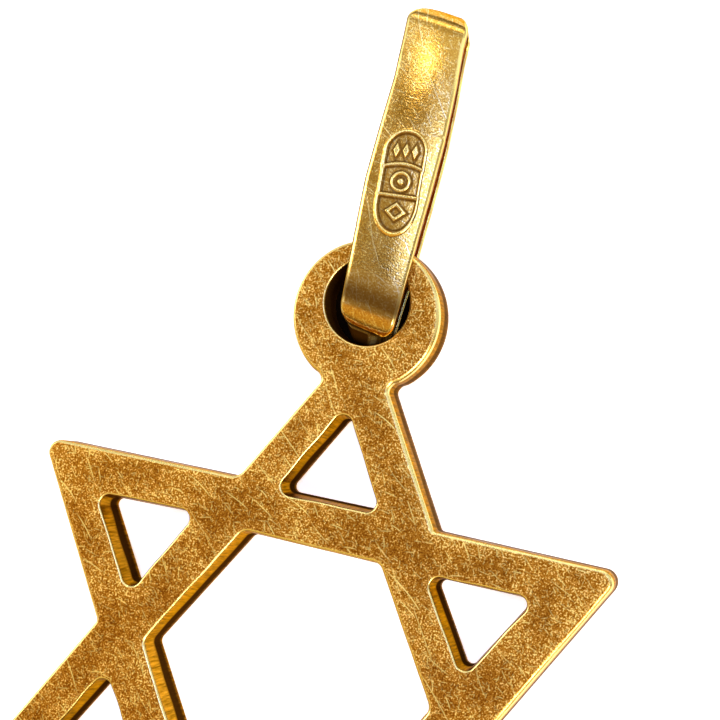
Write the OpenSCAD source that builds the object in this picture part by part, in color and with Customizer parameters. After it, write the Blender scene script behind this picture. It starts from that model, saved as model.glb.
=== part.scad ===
// Open six-pointed star pendant with a flat strip bail, lying face up.
// Real size in millimetres, +Z up, +Y towards the bail.
// The origin is the middle of the footprint, on the surface the pendant lies on.
// The rear leg of the bail lies flat on that surface and carries the eye of the plate,
// and the back edge of the lowest point touches it, so the plate leans by about one degree.

/* [Star] */
// Thickness of the plate
plate_t = 1.5; // [1.3:0.05:1.6]
// Ratio of the star to its usual size of 20 between two points of one triangle
star_ratio = 1; // [0.95:0.01:1.05]

/* [Corners] */
// Radius of the points
point_r = 0.42; // [0.3:0.02:0.5]
// Radius of the notches between the arms
notch_r = 0.16; // [0.1:0.02:0.3]
// Radius of the softer notch on the left of the top arm
soft_notch_r = 0.45; // [0.2:0.05:0.6]
// Radius of the corners of the triangular windows
window_r = 0.25; // [0.15:0.05:0.35]
// Radius of the corners of the hexagonal window
hexagon_r = 0.3; // [0.2:0.05:0.5]
// Radius of the solder in the two corners between the eye and the top arm
neck_r = 0.22; // [0.15:0.01:0.4]

/* [Eye] */
// Outer radius of the eye
eye_r = 2.45; // [2.4:0.01:2.6]
// Centre of the eye across the pendant
eye_x = 0.07; // [-0.2:0.01:0.2]
// Centre of the eye above the centre of the star
eye_y = 11.92; // [11.8:0.01:12.1]
// Radius of the hole
hole_r = 1.41; // [1.35:0.01:1.5]
// Centre of the hole across the pendant
hole_x = 0.02; // [-0.2:0.01:0.2]
// Centre of the hole above the centre of the star, worn towards the top
hole_y = 12.34; // [12.2:0.01:12.45]

/* [Bail] */
// Length of the closed loop
bail_len = 10.7; // [10:0.01:11.5]
// Outer radius of the four bends
bend_r = 0.8; // [0.7:0.05:1]
// Thickness of the strip
strip_t = 0.4; // [0.35:0.01:0.45]
// Air between the front leg and the face of the plate
front_gap = 0.12; // [0.1:0.01:0.2]
// Air between the back of the eye and the rear leg under it
rear_gap = 0.02; // [0.02:0.01:0.06]
// How far the front leg swells at its middle
swell = 0.15; // [0.1:0.01:0.25]
// Lean of the bail to the right, in degrees
bail_lean = 1.3; // [0:0.1:3]
// Turn of the two bends against the length of the strip, in degrees
bend_turn = 7.5; // [0:0.5:9]
// Angle at which the left side narrows towards the rear, in degrees
left_taper = 8; // [4:0.2:9]
// Angle at which the right side narrows towards the rear, in degrees
right_taper = 9; // [4:0.2:10]
// Lowest point of the loop across the pendant
bail_x = 0.22; // [0:0.01:0.4]
// Lowest point of the loop above the centre of the star
bail_y = 11.34; // [11.25:0.01:11.5]

/* [Mark place] */
// Depth of the three sunk fields in the front leg
field_depth = 0.07; // [0.05:0.01:0.1]
// Width of a field
field_w = 1.3; // [1.1:0.05:1.4]
// Height of a field
field_h = 0.92; // [0.8:0.02:0.96]
// Distance from one field to the next
field_pitch = 1.01; // [1:0.01:1.1]
// Height of the middle field above the lower end of the bail
field_y = 4.91; // [4.5:0.05:5.5]
// Turn of the row of fields against the strip, in degrees
field_turn = 4; // [0:0.5:6]

/* [Hidden] */

over = 1;
corner_steps = 6;
bend_steps = 10;
swell_steps = 12;

// Arms of the star, each with its direction first. Each line has the turn of its normal against the
// regular star and its distance from the centre: the right and left outer edge, the right and left side
// of the window and its base. The cutting is a little uneven from arm to arm.
line_dir = 0;
right_edge = 1;
left_edge = 3;
window_right = 5;
window_left = 7;
window_base = 9;
arms = [
    [30, 2, 6.09, 0.65, 5.62, 0.14, 4.18, 1, 4.15, 2.9, 5.58],
    [90, 1.35, 6.19, 0.8, 5.44, 0.6, 4.58, 1.2, 4.13, 1.31, 5.79],
    [150, 1.52, 5.98, 1.25, 5.535, 2.49, 4.58, 2.1, 4.115, 1.3, 5.75],
    [210, 1.12, 5.88, 1.18, 5.565, 0.03, 4.41, 1.18, 4.125, 3.33, 5.71],
    [270, 1.18, 5.98, 1.18, 5.565, 1.18, 4.54, 1.18, 4.125, 1.8, 5.71],
    [330, 1.18, 5.98, 1.18, 5.565, 1.18, 4.54, 1.18, 4.125, 1.8, 5.71]
];

// Sides of the hexagonal window: direction, turn and distance from the centre
hex_line = 1;
hexagon = [
    [30, 2.56, 4.18],
    [90, 0.22, 4.2],
    [150, -0.38, 4.125],
    [210, 2.4, 4.08],
    [270, 1, 4.145],
    [330, 1, 4.145]
];

// Half widths of the front leg, from the lower end upwards: height, left, right
side_y = 0;
side_left = 1;
side_right = 2;
sides = [
    [1, 0.98, 0.985],
    [2.8, 1.05, 1.025],
    [4.8, 1.135, 1.09],
    [6.4, 1.1, 1.115],
    [8.2, 1.045, 1.05],
    [9.6, 1.115, 0.94]
];
// Radii of the ends of the front leg's outline
low_left_r = 0.55;
low_right_r = 0.5;
top_left_r = 0.4;
top_right_r = 0.5;
top_slope_r = 0.8;

function unit(a) = [cos(a), sin(a)];
function dot(p, q) = p[0] * q[0] + p[1] * q[1];

// Meeting point of two lines, each given as the angle of its normal and its distance from the centre
function meet(a, da, b, db) =
    [da * sin(b) - db * sin(a), db * cos(a) - da * cos(b)] / sin(b - a);

// Points of an arc
function arc(c, r, from, to, steps) =
    [for (k = [0 : steps]) c + r * unit(from + (to - from) * k / steps)];

// One rounded corner p between the points before and after it
function corner(before, p, after, r, steps) =
    let (
        u = (before - p) / norm(before - p),
        v = (after - p) / norm(after - p),
        half = acos(dot(u, v)) / 2,
        mid = (u + v) / norm(u + v),
        c = p + mid * r / sin(half),
        first = p + u * r / tan(half),
        last = p + v * r / tan(half),
        a0 = atan2(first[1] - c[1], first[0] - c[0]),
        raw = atan2(last[1] - c[1], last[0] - c[0]) - a0,
        sweep = raw > 180 ? raw - 360 : raw < -180 ? raw + 360 : raw
    )
    arc(c, r, a0, a0 + sweep, steps);

// Closed outline through the points, each corner rounded by its own radius, zero for a plain corner
function rounded(points, radii, steps) =
    let (n = len(points))
    [for (i = [0 : n - 1])
        each radii[i] > 0
            ? corner(points[(i + n - 1) % n], points[i], points[(i + 1) % n], radii[i], steps)
            : [points[i]]];

// Lines of the star, each the angle of its normal and its distance from the centre
function line_at(row, first, beside) = [row[line_dir] + beside + row[first], row[first + 1] * star_ratio];
function cross_at(p, q) = meet(p[0], p[1], q[0], q[1]);
function edge(k, side) =
    side > 0 ? line_at(arms[k], left_edge, 60) : line_at(arms[k], right_edge, -60);
function point_at(k) = cross_at(edge(k, -1), edge(k, 1));
function notch_after(k) = cross_at(edge(k, 1), edge((k + 1) % 6, -1));

// Solder between the eye and one edge of the top arm
top = 1;
eye_c = [eye_x, eye_y];
function neck_centre(side) =
    let (
        n = unit(edge(top, side)[0]),
        h = edge(top, side)[1] + neck_r - dot(n, eye_c),
        along = sqrt(pow(eye_r + neck_r, 2) - h * h)
    )
    eye_c + n * h - side * along * [n[1], -n[0]];
function neck_arc(side) =
    let (
        c = neck_centre(side),
        a0 = edge(top, side)[0] + 180,
        to_eye = eye_c - c,
        raw = atan2(to_eye[1], to_eye[0]) - a0,
        sweep = raw > 180 ? raw - 360 : raw < -180 ? raw + 360 : raw
    )
    arc(c, neck_r, a0, a0 + sweep, corner_steps);
function last_of(list) = list[len(list) - 1];
function inside_eye(p, depth) = p + (eye_c - p) * depth / norm(eye_c - p);

left_neck = neck_arc(1);
right_neck = neck_arc(-1);
function reversed(list) = [for (i = [len(list) - 1 : -1 : 0]) list[i]];
function without_last(list) = [for (i = [0 : len(list) - 2]) list[i]];

// The point of an arm and the notch after it
function arm_corners(k) =
    concat(
        corner(notch_after((k + 5) % 6), point_at(k), notch_after(k), point_r, corner_steps),
        corner(point_at(k), notch_after(k), point_at((k + 1) % 6), notch_r, corner_steps));

// Counter-clockwise from the right neck, under the hole to the left neck and round the other arms
star_outline = concat(
    without_last(right_neck),
    [inside_eye(last_of(right_neck), 0.03), inside_eye(last_of(right_neck), 0.5)],
    [inside_eye(last_of(left_neck), 0.5), inside_eye(last_of(left_neck), 0.03)],
    reversed(without_last(left_neck)),
    corner(point_at(top), notch_after(top), point_at(2), soft_notch_r, corner_steps),
    [for (k = [2 : 6]) each arm_corners(k % 6)]
);

function window_outline(k) =
    let (
        right = line_at(arms[k], window_right, -60),
        left = line_at(arms[k], window_left, 60),
        base = line_at(arms[k], window_base, 0)
    )
    rounded([cross_at(base, right), cross_at(right, left), cross_at(left, base)],
        [window_r, window_r, window_r], corner_steps);

hexagon_lines = [for (side = hexagon) line_at(side, hex_line, 0)];
hexagon_outline = rounded(
    [for (k = [0 : 5]) cross_at(hexagon_lines[k], hexagon_lines[(k + 1) % 6])],
    [for (k = [0 : 5]) hexagon_r], corner_steps);

// Extent of the star: the round of a point in one direction
function point_extent(k, dir) =
    let (
        n = unit(edge(k, -1)[0]),
        m = unit(edge(k, 1)[0])
    )
    dot(point_at(k) - point_r * (n + m) / (1 + dot(n, m)), unit(dir)) + point_r;
star_low = -point_extent(4, 270);
star_left = -max(point_extent(2, 180), point_extent(3, 180));
star_right = max(point_extent(0, 0), point_extent(5, 0));

// The eye's back stays rear_gap above the rear leg where the hole ends
plate_lean = asin((strip_t + rear_gap) / (hole_y + hole_r - star_low));
plate_front_low = star_low - plate_t * sin(plate_lean);
eye_front_z = (eye_y + eye_r - star_low) * sin(plate_lean) + plate_t * cos(plate_lean);

// Bail
bail_depth = eye_front_z + front_gap + strip_t;
half_leg = bail_len / 2 - bend_r;
swell_h = (half_leg * half_leg - swell * swell) / (2 * swell);
swell_r = swell + swell_h + bend_r;
swell_a = atan(half_leg / swell_h);
swell_c = [bail_len / 2, bail_depth - bend_r - swell_h];

// Side view of the loop, moved inwards by the given amount
function loop_path(inset) = concat(
    arc([bend_r, bend_r], bend_r - inset, 270, 180, bend_steps),
    without_last(arc([bend_r, bail_depth - bend_r], bend_r - inset, 180, 90 + swell_a, bend_steps)),
    without_last(arc(swell_c, swell_r - inset, 90 + swell_a, 90 - swell_a, swell_steps)),
    arc([bail_len - bend_r, bail_depth - bend_r], bend_r - inset, 90 - swell_a, 0, bend_steps),
    arc([bail_len - bend_r, bend_r], bend_r - inset, 0, -90, bend_steps));

// Outline of the front leg. reach widens the side that the other outline trims.
function leg_outline(left_reach, right_reach) =
    let (
        n = len(sides),
        right = [for (i = [0 : n - 1]) [sides[i][side_right] + right_reach, sides[i][side_y]]],
        left = [for (i = [n - 1 : -1 : 0]) [-sides[i][side_left] - left_reach, sides[i][side_y]]]
    )
    rounded(
        concat(
            [[-0.96 - left_reach, 0.08], [0.95 + right_reach, -0.16]],
            right,
            [[0.95 + right_reach, bail_len - 0.18], [0.3, bail_len + 0.02],
             [-0.45, bail_len + 0.05], [-1.205 - left_reach, bail_len - 0.035]],
            left),
        concat(
            [low_left_r, low_right_r],
            [for (i = [1 : n]) 0],
            [top_right_r, top_slope_r, top_slope_r, top_left_r],
            [for (i = [1 : n]) 0]),
        corner_steps);

function front_z(y) = swell_c[1] + sqrt(swell_r * swell_r - pow(y - swell_c[0], 2));

// Middle of the whole footprint. top_rise is how far the upper end stands above the loop's length.
top_rise = 0.0522;
bail_top = bail_y + bail_len + top_rise;
mid_x = (star_left + star_right) / 2;
mid_y = (plate_front_low + bail_top) / 2;

module place_plate() {
    translate([-mid_x, star_low - mid_y, 0])
        rotate([plate_lean, 0, 0])
            translate([0, -star_low, 0])
                children();
}

module place_bail() {
    translate([bail_x - mid_x, bail_y - mid_y, 0])
        rotate([0, 0, -bail_lean])
            children();
}

module through(outline) {
    translate([0, 0, -over])
        linear_extrude(height = plate_t + 2 * over)
            polygon(outline);
}

module star_plate() {
    color([0.83, 0.62, 0.27])
        place_plate()
            difference() {
                union() {
                    linear_extrude(height = plate_t)
                        polygon(star_outline);
                    translate([eye_x, eye_y, 0])
                        cylinder(r = eye_r, h = plate_t, $fn = 96);
                }
                translate([hole_x, hole_y, -over])
                    cylinder(r = hole_r, h = plate_t + 2 * over, $fn = 72);
                for (k = [0 : 5])
                    through(window_outline(k));
                through(hexagon_outline);
            }
}

// Loop of strip, wider than the bail, with its two bends turned a little
module wide_loop() {
    translate([0, bail_len / 2, 0])
        rotate([0, 0, -bend_turn])
            translate([-3, -bail_len / 2, 0])
                rotate([90, 0, 90])
                    difference() {
                        linear_extrude(height = 6)
                            polygon(loop_path(0));
                        translate([0, 0, -over])
                            linear_extrude(height = 6 + 2 * over)
                                polygon(loop_path(strip_t));
                    }
}

// Upright block with the outline of the front leg, leaning so that one side narrows towards the rear
module side_block(lean, left_reach, right_reach) {
    translate([0, 0, bail_depth])
        rotate([0, lean, 0])
            translate([0, 0, -bail_depth - over])
                linear_extrude(height = bail_depth + 2 * over)
                    polygon(leg_outline(left_reach, right_reach));
}

module at_field(i) {
    turn = field_turn;
    y = field_y + i * field_pitch * cos(turn);
    translate([0.055 - i * field_pitch * sin(turn), y, front_z(y)])
        rotate([0, 0, turn])
            children();
}

module fields() {
    for (i = [-1 : 1])
        at_field(i)
            translate([0, 0, -field_depth])
                linear_extrude(height = over)
                    polygon([for (a = [0 : 15 : 345]) [field_w / 2 * cos(a), field_h / 2 * sin(a)]]);
}

module pips() {
    for (i = [-1 : 1])
        at_field(i)
            translate([0, 0, -2 * field_depth])
                linear_extrude(height = 1.75 * field_depth)
                    polygon(i == 0
                        ? [for (a = [0 : 30 : 330]) 0.2 * unit(a)]
                        : [[0.34, 0], [0, 0.24], [-0.34, 0], [0, -0.24]]);
}

module bail() {
    color([0.86, 0.66, 0.3])
        place_bail()
            union() {
                difference() {
                    intersection() {
                        wide_loop();
                        side_block(right_taper, 2, 0);
                        side_block(-left_taper, 0, 2);
                    }
                    fields();
                }
                pips();
            }
}

star_plate();
bail();
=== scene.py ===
"""Looks of an open six-pointed star pendant with a flat strip bail, lying face up on a pale floor."""

import logging
import math
from dataclasses import dataclass, field
from enum import Enum

import bpy
import numpy as np
from mathutils import Euler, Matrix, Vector
from mathutils.geometry import delaunay_2d_cdt

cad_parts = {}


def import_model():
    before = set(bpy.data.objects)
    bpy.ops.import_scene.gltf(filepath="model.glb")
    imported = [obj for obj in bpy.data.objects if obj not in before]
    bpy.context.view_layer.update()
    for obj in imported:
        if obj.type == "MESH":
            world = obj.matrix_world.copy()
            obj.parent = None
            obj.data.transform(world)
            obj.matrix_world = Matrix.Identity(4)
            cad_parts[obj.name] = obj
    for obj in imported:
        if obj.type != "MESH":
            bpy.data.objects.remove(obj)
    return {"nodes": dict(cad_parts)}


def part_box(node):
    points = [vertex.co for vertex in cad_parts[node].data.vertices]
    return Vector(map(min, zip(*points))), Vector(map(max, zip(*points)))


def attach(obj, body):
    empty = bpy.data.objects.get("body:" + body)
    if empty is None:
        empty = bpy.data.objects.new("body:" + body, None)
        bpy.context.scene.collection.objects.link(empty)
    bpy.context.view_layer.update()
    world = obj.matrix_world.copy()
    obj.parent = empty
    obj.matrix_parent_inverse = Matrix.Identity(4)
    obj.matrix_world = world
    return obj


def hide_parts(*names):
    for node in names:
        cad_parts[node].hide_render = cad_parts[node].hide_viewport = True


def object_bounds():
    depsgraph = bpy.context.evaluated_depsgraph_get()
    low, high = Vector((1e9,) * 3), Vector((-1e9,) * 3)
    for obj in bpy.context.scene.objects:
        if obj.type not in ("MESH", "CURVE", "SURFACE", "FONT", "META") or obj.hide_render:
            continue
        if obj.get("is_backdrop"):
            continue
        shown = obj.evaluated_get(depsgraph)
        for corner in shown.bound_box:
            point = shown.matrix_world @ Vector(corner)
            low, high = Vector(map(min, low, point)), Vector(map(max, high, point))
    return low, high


LOG = logging.getLogger("pendant")
MM = 0.001
TINY = 1e-12
MERGE = 1e-7
SAME_DIGITS = 9
# values that the gold reads; soot and stain carry painted shade
VALUES = ("run", "soot", "stain", "near")
Triple = tuple[float, float, float]
Color = Triple
Box = tuple[Vector, Vector]
Ring = tuple[np.ndarray, np.ndarray]


@dataclass(frozen=True)
class Band:
    """A stretch over which something eases in, from nothing at its start to all of it at its end."""

    start: float
    end: float

    def at(self, value: np.ndarray | float) -> np.ndarray:
        """How far values are through the stretch, eased, from 0 to 1."""
        t = np.clip((value - self.start) / (self.end - self.start), 0, 1)
        return t * t * (3 - 2 * t)


class Cut(Enum):
    """What an opening or outline of the plate is, which settles how its edge is finished."""

    OUTSIDE = "outside"
    HOLE = "hole"
    WINDOW = "window"
    HEXAGON = "hexagon"


@dataclass(frozen=True)
class EdgeFinish:
    """Hand finish and painted shade of one kind of cut edge, in millimetres.

    front is the radius of the front rounding, back that of the back one, facet how far the upper
    half of the wall is filed open, soot how dark the painted dark reflection on the wall is from 0
    to 1, uneven the share by which the file wandered along the edge, foot how far the lower wall
    stands into the opening and stain how dark the painted shade over the whole wall is from 0 to 1.
    """

    front: float
    back: float
    facet: float
    soot: float
    uneven: float
    foot: float = 0.0
    stain: float = 0.0


# soot is the strength of the painted dark reflection on each wall, stain the painted shade over the wall of
# the hole
EDGE_FINISH: dict[Cut, EdgeFinish] = {
    Cut.OUTSIDE: EdgeFinish(front=0.15, back=0.12, facet=0.0, soot=0.55, uneven=0.12),
    Cut.HOLE: EdgeFinish(front=0.07, back=0.08, facet=0.0, soot=1.0, uneven=0.1, stain=0.97),
    Cut.WINDOW: EdgeFinish(front=0.08, back=0.1, facet=0.07, soot=0.97, uneven=0.25, foot=0.045),
    Cut.HEXAGON: EdgeFinish(front=0.11, back=0.1, facet=0.06, soot=0.95, uneven=0.2, foot=0.045),
}


@dataclass(frozen=True)
class GoldFinish:
    """Colours, wear and painted light of one gold surface.

    tones are the colours of the fine grain from its dark to its bright end, scratch is the colour
    in a fresh scratch, made bright as a painted glint, facet, wall and back are painted reflections
    on the filed upper wall, on the lower wall and on the back rounding, polish is that of the rubbed
    rim, deep is the colour of painted shade, rough and rim_rough are the roughness of the face and
    of the rim, grain is the height of the grain, along the main direction of the scratches in
    degrees, sparkle the share of the bright specks, grain painted bright as glints, and grazing the
    tint of the metal at a flat angle.
    """

    name: str
    tones: tuple[tuple[float, Color], ...]
    scratch: Color
    facet: Color
    wall: Color
    back: Color
    polish: Color
    deep: Color
    rough: float
    rim_rough: float
    grain: float
    along: float
    sparkle: float = 1.0
    grazing: Color = (0.62, 0.47, 0.32)


# facet, wall and back below are painted reflections on the walls, deep is the colour of painted shade and
# scratch also stands for a painted glint
PLATE_GOLD = GoldFinish(
    name="plate_gold",
    tones=((0.0, (0.17, 0.049, 0.002)), (0.19, (0.23, 0.073, 0.003)), (0.37, (0.3, 0.1, 0.005)),
           (0.5, (0.36, 0.13, 0.008)), (0.63, (0.435, 0.172, 0.014)), (0.81, (0.58, 0.265, 0.03)),
           (1.0, (0.92, 0.55, 0.13))),
    scratch=(1.0, 0.8, 0.2), facet=(0.44, 0.2, 0.02), wall=(0.2, 0.08, 0.006),
    back=(0.5, 0.22, 0.02), polish=(1.0, 0.8, 0.3), deep=(0.04, 0.013, 0.0015),
    rough=0.42, rim_rough=0.24, grain=1.0, along=-42.0)
BAIL_GOLD = GoldFinish(
    name="bail_gold",
    tones=((0.0, (0.5, 0.23, 0.025)), (0.3, (0.58, 0.29, 0.04)), (0.55, (0.62, 0.33, 0.055)),
           (0.8, (0.7, 0.41, 0.09)), (1.0, (0.95, 0.65, 0.2))),
    scratch=(1.0, 0.82, 0.4), facet=(0.5, 0.27, 0.035), wall=(0.85, 0.55, 0.12),
    back=(1.0, 0.72, 0.2), polish=(1.0, 0.74, 0.24), deep=(0.05, 0.016, 0.001),
    rough=0.16, rim_rough=0.18, grain=0.55, along=-50.0, sparkle=0.3)


@dataclass(frozen=True)
class ScratchLayer:
    """One layer of fine scratches.

    cell is the size of the cell that holds one scratch, width its half width, turn its main
    direction against the finish's own in radians, spread how far the directions differ, share how
    many cells hold one and weight how strong they are, lengths in millimetres.
    """

    cell: float
    width: float
    turn: float
    spread: float
    share: float
    weight: float


SCRATCHES = (
    ScratchLayer(cell=0.15, width=0.026, turn=0.0, spread=3.1, share=0.5, weight=0.55),
    ScratchLayer(cell=0.26, width=0.025, turn=0.0, spread=2.4, share=0.5, weight=0.7),
    ScratchLayer(cell=0.5, width=0.026, turn=0.2, spread=1.6, share=0.5, weight=0.85),
    ScratchLayer(cell=1.1, width=0.026, turn=0.0, spread=0.8, share=0.5, weight=1.0),
    ScratchLayer(cell=2.3, width=0.028, turn=-0.1, spread=0.5, share=0.45, weight=1.0),
)


@dataclass(frozen=True)
class Noise:
    """One noise: its scale in swings a millimetre, its finer layers and how strong they are."""

    scale: float
    detail: float
    rough: float


@dataclass(frozen=True)
class GoldWearAndShade:
    """How scratches, grain, edge wear and the painted reflections and shade of the walls show in both
    golds.

    taper is where a scratch runs out and bend how much it curves, as shares of its cell, faintest
    the least depth of one and layer_gap moves each layer of them away from the one before. fine,
    coarse and cloud are the grain's noises, fine_part and coarse_part their parts in the tone,
    cloud_speck and rough_part the parts of the cloud in the specks and of the coarse noise in the
    height, and tones, specks and clouds the noise values that each of them covers. The next seven
    are places on the way round the edge, which goes from 0 at the front face through 1, 2 and 3
    on the wall to 4 at the back face, and ragged is how far streaks push them about. Of these,
    lower_in and back_in start the painted reflections of the lower wall and of the back rounding,
    and dark_in and dark_out bound the painted dark reflection on the wall. streak_size and streak
    are the file marks along an edge, dim and lit how dark and bright they make the painted
    reflection on the wall over the values of streaks, so that they also paint highlights on it.
    near_tone and cloud_tone lift the tone beside an edge and in a cloud, far_speck is the strength
    of the specks away from any edge, scratch_cover and rim_cover are how fully scratches and the
    rubbed rim show, wall_smooth is how smooth a wall is against the rim, cloud_rough how much the
    clouds change the roughness, grain_rise and scratch_sink are the parts of the bump, and bump and
    bump_depth its strength and its depth in metres.
    """

    taper: Band = Band(0.2, 0.55)
    bend: float = 0.5
    faintest: float = 0.35
    layer_gap: tuple[float, float] = (3.1, 7.7)
    fine: Noise = Noise(17.0, 1.0, 0.5)
    coarse: Noise = Noise(5.0, 2.0, 0.55)
    cloud: Noise = Noise(0.55, 3.0, 0.55)
    fine_part: float = 0.65
    coarse_part: float = 0.35
    cloud_speck: float = 0.3
    rough_part: float = 0.6
    tones: Band = Band(0.3, 0.7)
    specks: Band = Band(0.65, 0.8)
    clouds: Band = Band(0.36, 0.64)
    rim_in: Band = Band(0.06, 0.2)
    rim_out: Band = Band(0.42, 0.62)
    wall_out: Band = Band(3.8, 3.95)
    lower_in: Band = Band(1.7, 2.1)
    back_in: Band = Band(2.75, 3.15)
    dark_in: Band = Band(1.85, 2.05)
    dark_out: Band = Band(2.55, 3.1)
    ragged: float = 0.16
    streak_size: Triple = (16.0, 1.2, 1.0)
    streak: Noise = Noise(1.0, 3.0, 0.6)
    streaks: Band = Band(0.3, 0.72)
    dim: float = 0.5
    lit: float = 1.7
    near_tone: float = 0.14
    cloud_tone: float = 0.14
    far_speck: float = 0.72
    scratch_cover: float = 0.95
    rim_cover: float = 0.85
    wall_smooth: float = 0.5
    cloud_rough: float = 0.08
    grain_rise: float = 0.5
    scratch_sink: float = 0.25
    bump: float = 0.35
    bump_depth: float = 0.00002


@dataclass(frozen=True)
class PlatePlace:
    """Where the leaning plate stands, in millimetres and degrees.

    lean is its lean, low the place along the plate of the tip that stays on the ground, and mid_x
    and mid_y lead from the middle of the whole pendant to the star's centre.
    """

    lean: float = 0.967348
    low: float = -11.127664
    mid_x: float = 0.026853
    mid_y: float = 5.469606

    def to_plate(self, points: np.ndarray) -> np.ndarray:
        """Row points to the plate's own frame.

        Args:
            points: Row points in millimetres, one a line.

        Returns:
            The same points with the back of the plate at height 0 and the star's centre at 0, 0.
        """
        c, s = math.cos(math.radians(self.lean)), math.sin(math.radians(self.lean))
        x = points[:, 0] + self.mid_x
        y = points[:, 1] + self.mid_y - self.low
        z = points[:, 2]
        return np.stack([x, y * c + z * s + self.low, -y * s + z * c], 1)

    def to_row(self, points: np.ndarray) -> np.ndarray:
        """Plate points to the row frame.

        Args:
            points: Points in the plate's own frame, in millimetres.

        Returns:
            The same points in the row frame, in millimetres.
        """
        c, s = math.cos(math.radians(self.lean)), math.sin(math.radians(self.lean))
        x = points[:, 0] - self.mid_x
        y = points[:, 1] - self.low
        z = points[:, 2]
        return np.stack([x, y * c - z * s + self.low - self.mid_y, y * s + z * c], 1)


@dataclass(frozen=True)
class Swings:
    """A sum of sine waves of random lengths, which stays between about -1 and 1.

    count is the number of waves, fewest and most are the swings of one against the usual number,
    fade is how much weaker each next wave is, level what the sum is divided by and turn the range
    of their directions and starts, in radians.
    """

    count: int
    fewest: float
    most: float
    fade: float
    level: float
    turn: float = 6.28

    def along(self, t: np.ndarray, seed: int, span: float) -> np.ndarray:
        """Wandering values along an edge.

        Args:
            t: Places along the edge, in millimetres.
            seed: Seed of the waves.
            span: Usual length of one swing, in millimetres.

        Returns:
            One value for each place.
        """
        rng = np.random.default_rng(seed)
        total = np.zeros_like(t)
        for k in range(self.count):
            wave = t * (2 * math.pi / span) * rng.uniform(self.fewest, self.most)
            total += np.sin(wave + rng.uniform(0, self.turn)) / (1 + self.fade * k)
        return total / self.level

    def over(self, x: np.ndarray, y: np.ndarray, seed: int, span: float) -> np.ndarray:
        """Rolling heights over a face.

        Args:
            x: Places across, in millimetres.
            y: Places along, in millimetres.
            seed: Seed of the waves.
            span: Usual length of one wave, in millimetres.

        Returns:
            One height for each place.
        """
        rng = np.random.default_rng(seed)
        total = np.zeros_like(x)
        for _ in range(self.count):
            a = rng.uniform(0, self.turn)
            k = 2 * math.pi / span * rng.uniform(self.fewest, self.most)
            total += np.sin(k * (x * math.cos(a) + y * math.sin(a)) + rng.uniform(0, self.turn))
        return total / self.level


WANDER = Swings(count=5, fewest=0.5, most=1.6, fade=0.4, level=2.6)
ROLLING = Swings(count=7, fewest=0.6, most=1.5, fade=0.0, level=4.5)


def curved(t: float, start: np.ndarray, end: np.ndarray, leaving: np.ndarray,
           arriving: np.ndarray) -> tuple[np.ndarray, np.ndarray]:
    """One place on the smooth curve between two points.

    Args:
        t: How far along it is, from 0 to 1.
        start: First point.
        end: Second point.
        leaving: Direction at the first point, as long as the side.
        arriving: Direction at the second point, as long as the side.

    Returns:
        The place and the direction there.
    """
    place = ((2 * t**3 - 3 * t**2 + 1) * start + (t**3 - 2 * t**2 + t) * leaving
             + (3 * t**2 - 2 * t**3) * end + (t**3 - t**2) * arriving)
    slope = ((6 * t**2 - 6 * t) * start + (3 * t**2 - 4 * t + 1) * leaving
             + (6 * t - 6 * t**2) * end + (3 * t**2 - 2 * t) * arriving)
    return place, slope / np.linalg.norm(slope)


@dataclass
class CutEdge:
    """One closed cut of the plate, run with the metal on its left, in the plate's own frame.

    A side longer than long is straight and takes a point each line_step, a shorter one is part of
    a round stretch and takes one each arc_step, and a turn above sharp is a true corner. Points
    closer than merge are one. All but sharp are in millimetres.
    """

    points: np.ndarray
    kind: Cut
    normals: np.ndarray = field(default_factory=lambda: np.zeros((0, 2)))
    lengths: np.ndarray = field(default_factory=lambda: np.zeros(0))
    merge: float = 0.012
    long: float = 0.55
    line_step: float = 0.3
    arc_step: float = 0.07
    sharp: float = 0.6

    def merge_points(self) -> None:
        """Drops points that are nearly on top of the next one."""
        ahead = np.linalg.norm(np.roll(self.points, -1, 0) - self.points, axis=1)
        self.points = self.points[ahead > self.merge]

    def refine(self) -> None:
        """Adds points, on a smooth curve through the short sides and straight along the long ones."""
        p = self.points
        ahead = np.roll(p, -1, 0) - p
        size = np.linalg.norm(ahead, axis=1)
        way = ahead / size[:, None]
        size_back, way_back = np.roll(size, 1), np.roll(way, 1, 0)
        tangent = way_back * size[:, None] + way * size_back[:, None]
        tangent = np.where((size_back > self.long)[:, None], way_back, tangent)
        tangent = np.where((size > self.long)[:, None], way, tangent)
        tangent /= np.linalg.norm(tangent, axis=1)[:, None]
        sharp = np.abs(way[:, 0] * way_back[:, 1] - way[:, 1] * way_back[:, 0]) > self.sharp
        made, ways = [], []
        for i in range(len(p)):
            j = (i + 1) % len(p)
            straight = size[i] > self.long
            steps = max(1, math.ceil(size[i] / (self.line_step if straight else self.arc_step)))
            first = way[i] if straight or sharp[i] else tangent[i]
            last = way[i] if straight or sharp[j] else tangent[j]
            for k in range(steps):
                t = k / steps
                if straight:
                    place, slope = p[i] + ahead[i] * t, way[i]
                else:
                    place, slope = curved(t, p[i], p[j], first * size[i], last * size[i])
                made.append(place)
                ways.append(slope if k else tangent[i])
        self.points = np.array(made)
        way = np.array(ways)
        self.normals = np.stack([way[:, 1], -way[:, 0]], 1)
        step = np.linalg.norm(np.roll(self.points, -1, 0) - self.points, axis=1)
        self.lengths = np.concatenate([[0.0], np.cumsum(step)])

    def inset(self, depth: np.ndarray) -> np.ndarray:
        """The cut's points, each moved into the metal by its depth."""
        return self.points - self.normals * depth[:, None]


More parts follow.
